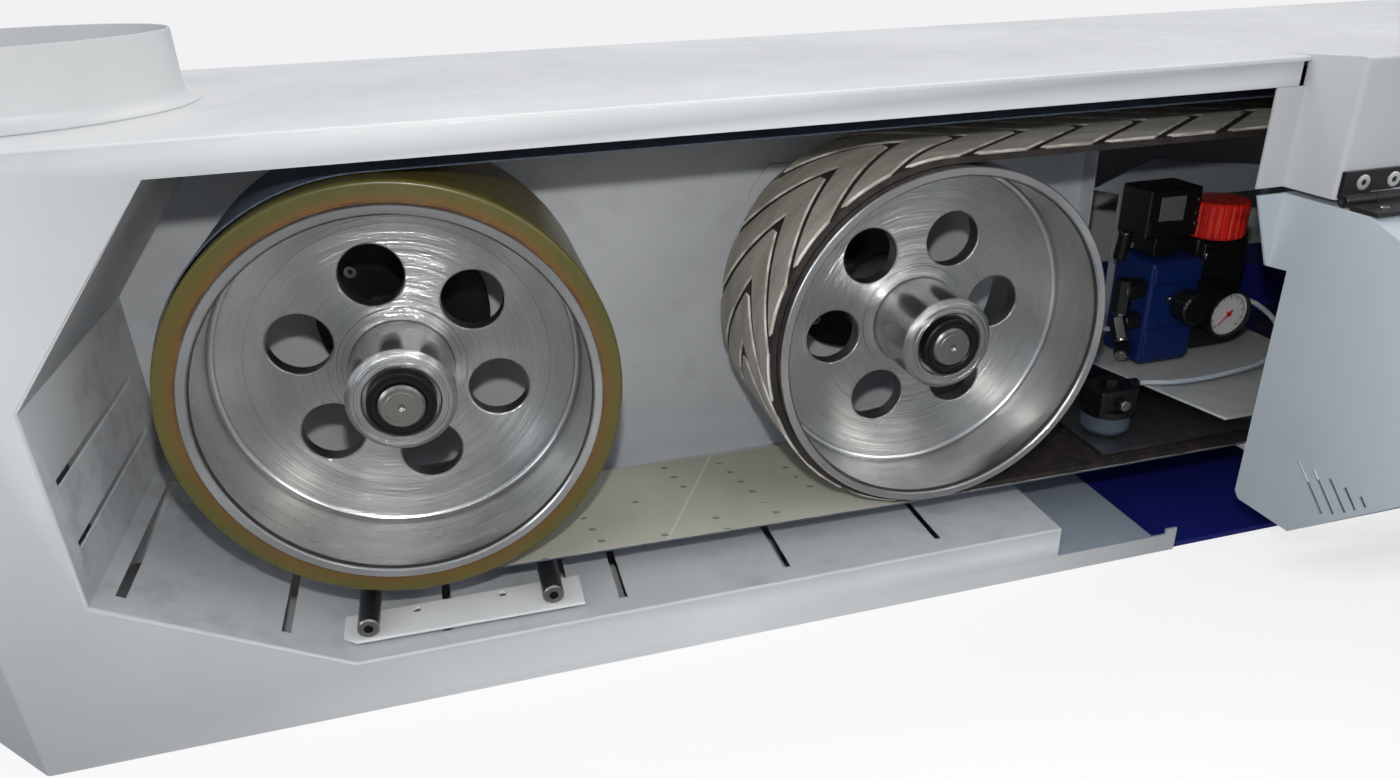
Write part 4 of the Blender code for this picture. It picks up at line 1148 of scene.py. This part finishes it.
handle_plastic = plain_steel("handle_plastic", tone(28, 28, 29), 0.45, 0.0, 0.00006)
bm = solid_of("door_handle")
rounded(bm, 0.003, segments=4)
finished("door_handle_grip", bm, [handle_plastic], "door_body", ["door_handle"])
print("ports rise", PORT_RISE, "m above the roof")

# %% [markdown]
# ## Air unit
# Inside the belt loop sit the lock-out valve with its red knob, the blue regulator with a gauge, and a small
# filter. The valve's label stays bare.

# %% Air unit: bodies and knobs
moulded_black = plain_steel("moulded_black", tone(19, 20, 21), 0.40, 0.0, 0.00005)
cast_blue = powder_coat("cast_blue", tone(10, 38, 98))
knob_red = Finish("knob_red", tone(236, 40, 26), 0.38, 0.0, Coat_Weight=0.2)
knob_red.mottled(40.0, tone(238, 44, 28), tone(176, 22, 18), high=0.65)
label_grey = Finish("label_grey", tone(104, 106, 108), 0.5)
label_grey.set("Roughness", label_grey.spread(label_grey.noise(30.0), 0.4, 0.6, 0.4, 0.6))


def ribbed(bm, place, axis, radius, length, ribs, groove):
    """A knob whose side is a ring of ribs, with its near and far edges chamfered."""
    steps = ribs * 4
    outline = [(0, 0), (radius - 0.0022, 0), (radius, 0.0022), (radius, length - 0.0022)]
    outline += [(radius - 0.0022, length), (0, length)]
    turned(bm, outline, place, axis, steps, closed=False)
    middle = place + AXES[axis] * (length / 2)
    for vert in bm.verts:
        offset = vert.co - middle
        flat = offset - AXES[axis] * offset.dot(AXES[axis])
        if flat.length > radius - 0.001:
            angle = math.atan2(flat.dot(AXES[axis].cross(SIDES[axis])), flat.dot(SIDES[axis]))
            if round(angle / math.tau * steps) % 4 == 0:
                vert.co = vert.co - flat.normalized() * groove


def bevelled_block(low, high, width, segments=3):
    bm = bmesh.new()
    block(bm, low, high)
    rounded(bm, width, segments=segments)
    return bm


def added(bm, other):
    """Adds another bmesh to this one, and frees it."""
    bm.from_mesh(as_mesh(other))


bm = bevelled_block(at(-0.474, 0.150, 0.298), at(-0.408, 0.198, 0.352), 0.003)
added(bm, bevelled_block(at(-0.455, 0.155, 0.2753), at(-0.425, 0.190, 0.2995), 0.002))
added(bm, bevelled_block(at(-0.4705, 0.1484, 0.3030), at(-0.4440, 0.1520, 0.3180), 0.0008))
added(bm, bevelled_block(at(-0.4090, 0.1600, 0.3040), at(-0.4060, 0.1880, 0.3440), 0.0008))
for x, z in ((-0.4115, 0.3380), (-0.4125, 0.3230), (-0.4115, 0.3110)):
    screw(bm, at(x, 0.150, z), (0, -1, 0), 0.0026, first=1)
valve_finishes = [moulded_black, bright_steel, socket_painted_shade]
finished("lockout_valve_body", bm, valve_finishes, HEAD, ["lockout_valve"])
bm = bevelled_block(at(-0.4600, 0.1492, 0.3170), at(-0.4290, 0.1506, 0.3440), 0.0004, 1)
finished("lockout_label", bm, [label_grey])

bm = bmesh.new()
ribbed(bm, at(-0.375, 0.160, 0.2930), "Z", 0.031, 0.040, 24, 0.0014)
finished("lockout_knob_ribbed", bm, [knob_red], "lockout_knob_body", ["lockout_knob"])

bm = bevelled_block(*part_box("regulator_body"), 0.005)
added(bm, bevelled_block(at(-0.4660, 0.1325, 0.1630), at(-0.4050, 0.1370, 0.1990), 0.003))
added(bm, bevelled_block(at(-0.4660, 0.1325, 0.2500), at(-0.4050, 0.1370, 0.2690), 0.003))
finished("regulator_casting", bm, [cast_blue], HEAD, ["regulator_body"])
bm = bmesh.new()
ribbed(bm, at(-0.4225, 0.1103, 0.2250), "Y", 0.018, 0.0244, 18, 0.0010)
knob_body = "regulator_knob_body"
finished("regulator_knob_ribbed", bm, [moulded_black], knob_body, ["regulator_knob"])
print("air unit bodies are in place")

# %% Air unit: gauge, filter and fittings
GAUGE = at(-0.363, 0.0, 0.207)
CASE_FRONT, DIAL_DEPTH, CASE_R, DIAL_R = 0.124, 0.1292, 0.028, 0.0252
case_outline = [
    (0.0, 0.155),
    (CASE_R, 0.155),
    (CASE_R, CASE_FRONT + 0.0020),
    (CASE_R - 0.0008, CASE_FRONT + 0.0004),
    (CASE_R - 0.0018, CASE_FRONT),
    (DIAL_R + 0.0004, CASE_FRONT + 0.0004),
    (DIAL_R, CASE_FRONT + 0.0014),
    (DIAL_R, DIAL_DEPTH + 0.0008),
    (0.0, DIAL_DEPTH + 0.0008),
]
bm = bmesh.new()
turned(bm, case_outline, GAUGE, "Y", 80, closed=False)
added(bm, bevelled_block(at(-0.4026, 0.150, 0.160), at(-0.335, 0.190, 0.2925), 0.004))
added(bm, bevelled_block(at(-0.3975, 0.1440, 0.2450), at(-0.3400, 0.1520, 0.2880), 0.003))
finished("gauge_case_round", bm, [moulded_black], HEAD, ["gauge_case"])

dial_white = Finish("dial_white", tone(236, 236, 234), 0.4, 0.0, Coat_Weight=0.6, Coat_Roughness=0.05)
dial_white.set("Roughness", dial_white.spread(dial_white.noise(80.0), 0.4, 0.6, 0.35, 0.45))
dial_ink = Finish("dial_ink", tone(20, 20, 22), 0.5)
bm = bmesh.new()
dial_middle = GAUGE + AXES["Y"] * DIAL_DEPTH
rod(bm, dial_middle, GAUGE + AXES["Y"] * (DIAL_DEPTH + 0.0009), DIAL_R - 0.0001, 64)
finished("gauge_dial", bm, [dial_white])
bm = bmesh.new()
MARKS, ARC_START, ARC_SWEEP = 50, 225, 270
for i in range(MARKS + 1):
    angle = math.radians(ARC_START - ARC_SWEEP * i / MARKS)
    long, wide = (0.0050, 0.0008) if i % 5 == 0 else (0.0026, 0.0004)
    size = Vector((long, 0.0002, wide))
    middle = GAUGE + AXES["Y"] * (DIAL_DEPTH - 0.0001)
    place = Matrix.Translation(middle) @ Matrix.Rotation(-angle, 4, "Y")
    matrix = place @ Matrix.Translation((DIAL_R - 0.0024 - long / 2, 0, 0)) @ Matrix.Diagonal((*size, 1))
    bmesh.ops.create_cube(bm, size=1, matrix=matrix)
finished("gauge_marks", bm, [dial_ink])

bm = bmesh.new()
needle = [(-0.0012, -0.0060), (0.0012, -0.0060), (0.0009, 0.0)]
needle += [(0.0003, 0.0185), (-0.0003, 0.0185), (-0.0009, 0.0)]
thickened(bm, [(x, 0.1270, z) for x, z in needle], (0, 0.0006, 0))
rod(bm, Vector((0, 0.1262, 0)), Vector((0, 0.1285, 0)), 0.0026, 24)
bmesh.ops.recalc_face_normals(bm, faces=bm.faces)
turn = Matrix.Translation(GAUGE) @ Matrix.Rotation(math.radians(-135), 4, "Y")
bmesh.ops.transform(bm, matrix=turn, verts=bm.verts)
finished("gauge_pointer", bm, [knob_red], "gauge_needle_body", ["gauge_needle"])

clear = Finish("clear_plastic", tone(120, 134, 150), 0.12, 0.0, Coat_Weight=0.5, Alpha=0.42)
clear.set("Roughness", clear.spread(clear.noise(50.0), 0.4, 0.65, 0.10, 0.30))
bowl_outline = [(0.0, 0.0006), (0.014, 0.0006), (0.022, 0.0024)]
bowl_outline += [(0.0258, 0.0075), (0.026, 0.0232), (0.0, 0.0232)]
bm = bmesh.new()
turned(bm, bowl_outline, at(-0.530, 0.098, 0.1033), "Z", 64, closed=False)
finished("filter_bowl_round", bm, [clear], HEAD, ["filter_bowl"])
bm = bevelled_block(*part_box("filter_head"), 0.003)
collar = bmesh.new()
collar_outline = [(0, 0), (0.0262, 0), (0.0262, 0.007), (0.0235, 0.0086), (0, 0.0086)]
turned(collar, collar_outline, at(-0.530, 0.098, 0.1262), "Z", 48, closed=False)
added(bm, collar)
rod(bm, at(-0.530, 0.098, 0.157), at(-0.530, 0.098, 0.1660), 0.0100, 6)
finished("filter_head_moulding", bm, [moulded_black], HEAD, ["filter_head"])
FITTINGS = [
    ((-0.5072, 0.098, 0.1538), (-0.4970, 0.098, 0.1538), 0.0062),
    ((-0.4684, 0.168, 0.1900), (-0.4780, 0.168, 0.1900), 0.0062),
    ((-0.3350, 0.170, 0.2050), (-0.3240, 0.170, 0.2050), 0.0062),
    ((-0.5450, 0.2649, 0.2160), (-0.5450, 0.2560, 0.2160), 0.0062),
    ((-0.4684, 0.150, 0.2440), (-0.4900, 0.150, 0.2440), 0.0125),
    ((-0.4900, 0.150, 0.2560), (-0.4900, 0.150, 0.2180), 0.0100),
    ((-0.4684, 0.150, 0.2060), (-0.4860, 0.150, 0.2060), 0.0115),
    ((-0.4930, 0.150, 0.2120), (-0.4930, 0.138, 0.1900), 0.0095),
    ((-0.4684, 0.160, 0.1720), (-0.4800, 0.150, 0.1640), 0.0090),
    ((-0.4780, 0.180, 0.2700), (-0.4780, 0.176, 0.3000), 0.0070),
    ((-0.4260, 0.135, 0.2340), (-0.4260, 0.1310, 0.2340), 0.0030),
    ((-0.4440, 0.135, 0.2340), (-0.4440, 0.1310, 0.2340), 0.0030),
    ((-0.3920, 0.150, 0.2740), (-0.3920, 0.1440, 0.2740), 0.0060),
    ((-0.5300, 0.078, 0.1440), (-0.5300, 0.070, 0.1440), 0.0075),
]
silver, black = bmesh.new(), bmesh.new()
for near_end, far_end, radius in FITTINGS:
    start, stop = at(*near_end), at(*far_end)
    rod(black, start, stop, radius, 6 if radius > 0.007 else 24)
    step = (stop - start).normalized()
    rod(silver, stop - step * 0.0005, stop + step * 0.0022, radius * 0.78, 24)
for made in (silver, black):
    rounded(made, 0.0004, segments=1)
finished("fitting_bodies", black, [moulded_black])
finished("fitting_collars", silver, [bright_steel])
print("gauge at", [round(c, 3) for c in GAUGE])

# %% Air tubes
tube_plastic = Finish("tube_plastic", tone(196, 206, 214), 0.2, 0.0, Coat_Weight=0.4, Alpha=0.75)
tube_plastic.mottled(18.0, tone(188, 200, 210), tone(214, 220, 224))
TUBE_R = 0.003
TUBES = {
    "supply_tube": [
        (-0.5050, 0.098, 0.1538),
        (-0.4860, 0.096, 0.1540),
        (-0.4600, 0.084, 0.1560),
        (-0.4000, 0.072, 0.1640),
        (-0.3400, 0.082, 0.1700),
        (-0.3000, 0.115, 0.1820),
        (-0.2920, 0.150, 0.1960),
        (-0.3050, 0.168, 0.2040),
        (-0.3342, 0.170, 0.2050),
    ],
    "tension_tube": [
        (-0.4684, 0.168, 0.1900),
        (-0.4930, 0.168, 0.1915),
        (-0.5170, 0.180, 0.2000),
        (-0.5380, 0.210, 0.2120),
        (-0.5450, 0.240, 0.2160),
        (-0.5450, 0.2649, 0.2160),
    ],
}
for solid, places in TUBES.items():
    curve = bpy.data.curves.new(f"{solid}_line", "CURVE")
    curve.dimensions = "3D"
    curve.bevel_depth = TUBE_R
    curve.bevel_resolution = 4
    curve.use_fill_caps = True
    spline = curve.splines.new("BEZIER")
    spline.bezier_points.add(len(places) - 1)
    for knot, place in zip(spline.bezier_points, places):
        knot.co = at(*place)
        knot.handle_left_type = knot.handle_right_type = "AUTO"
    curve.materials.append(tube_plastic.material)
    tube = bpy.data.objects.new(f"{solid}_smooth", curve)
    looks.objects.link(tube)
    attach(tube, HEAD)
    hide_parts(solid)
    print(solid, "length", round(spline.calc_length(), 3), "m")

# %% [markdown]
# ## Shelf, guard, cover plate and rear panels
# A thin cover plate with a cut corner closes the slot round the inner axle. Four plain service panels, held
# by screws, are guessed for the back.

# %% Shelf, guard and panels
guard_paint = powder_coat("guard_paint", tone(160, 167, 174), dusty=0.15, roughness=0.4)
shelf_paint = powder_coat("shelf_paint", tone(196, 198, 196), dusty=0.5, roughness=0.5)
folded("valve_shelf", [shelf_paint], edge=0.0004)
folded("valve_bracket", [guard_paint], edge=0.0006)

WALL_DEPTH = 0.2655
PLATE_EDGE = 0.0004
PANEL_THICK, SCREW_INSET = 0.0015, 0.015


def plate(outline, near, far):
    """A flat plate from (x, z) corners, between two depths."""
    bm = bmesh.new()
    thickened(bm, [at(x, near, z) for x, z in outline], (0, far - near, 0))
    bmesh.ops.recalc_face_normals(bm, faces=bm.faces)
    rounded(bm, PLATE_EDGE)
    return bm


cover = [(-0.8870, 0.0900), (-0.8870, 0.3650), (-0.8650, 0.3920), (-0.5900, 0.3920), (-0.5900, 0.0900)]
for end, side in (("left", 1), ("right", -1)):
    outline = [(side * x, z) for x, z in cover]
    sheet = plate(outline, WALL_DEPTH - 0.0022, WALL_DEPTH - 0.0002)
    made = finished(f"{end}_axle_cover", sheet, [wall_paint])
    gap = bmesh.new()
    corners = sorted((side * (INNER.x - 0.021), side * (INNER.x + 0.036)))
    block(gap, at(corners[0], 0.25, INNER.z - 0.021), at(corners[1], 0.28, INNER.z + 0.021))
    pierced(made, as_mesh(gap))

PANELS = [(0.62, 1.06, 0.09, 0.41), (1.14, 1.58, 0.09, 0.41)]
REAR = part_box("rear_cover")[1].y - FRONT
for end, side in (("left", -1), ("right", 1)):
    screws = bmesh.new()
    for i, (x0, x1, z0, z1) in enumerate(PANELS):
        xs = sorted((side * x0, side * x1))
        outline = [(xs[0], z0), (xs[1], z0), (xs[1], z1), (xs[0], z1)]
        panel = plate(outline, REAR, REAR + PANEL_THICK)
        finished(f"{end}_rear_panel_{i}", panel, [shell_paint])
        for x in (xs[0] + SCREW_INSET, (xs[0] + xs[1]) / 2, xs[1] - SCREW_INSET):
            for z in (z0 + SCREW_INSET, z1 - SCREW_INSET):
                screw(screws, at(x, REAR + PANEL_THICK, z), (0, 1, 0), 0.0048)
    finished(f"{end}_rear_screws", screws, [bright_steel, socket_painted_shade])
folded("rear_cover", [shell_paint], edge=0.0004)
print("rear panels:", 2 * len(PANELS))

# %% [markdown]
# ## The remaining solids
# Everything else keeps its own solid and gets a finish by its material slot.

# %% Finishes by slot
pad_graphite = plain_steel("pad_graphite", tone(46, 46, 48), 0.55, 0.0, 0.00008)
beam_metal = plain_steel("beam_metal", tone(176, 177, 178), 0.36)
finish_of_slot = {
    "light_grey_paint": shell_paint,
    "blue_grey_paint": wall_paint,
    "frame_blue_paint": frame_blue,
    "regulator_blue": cast_blue,
    "turned_aluminium": beam_metal,
    "bright_steel": bright_steel,
    "dark_steel": dark_steel,
    "black_plastic": moulded_black,
    "red_plastic": knob_red,
    "graphite_cloth": pad_graphite,
    "clear_bowl": clear,
    "air_tube": tube_plastic,
}
for name, obj in frame["nodes"].items():
    if not obj.hide_render:
        obj.data.materials.clear()
        obj.data.materials.append(finish_of_slot[SLOT_OF[name]].material)
        print(name, "->", SLOT_OF[name])
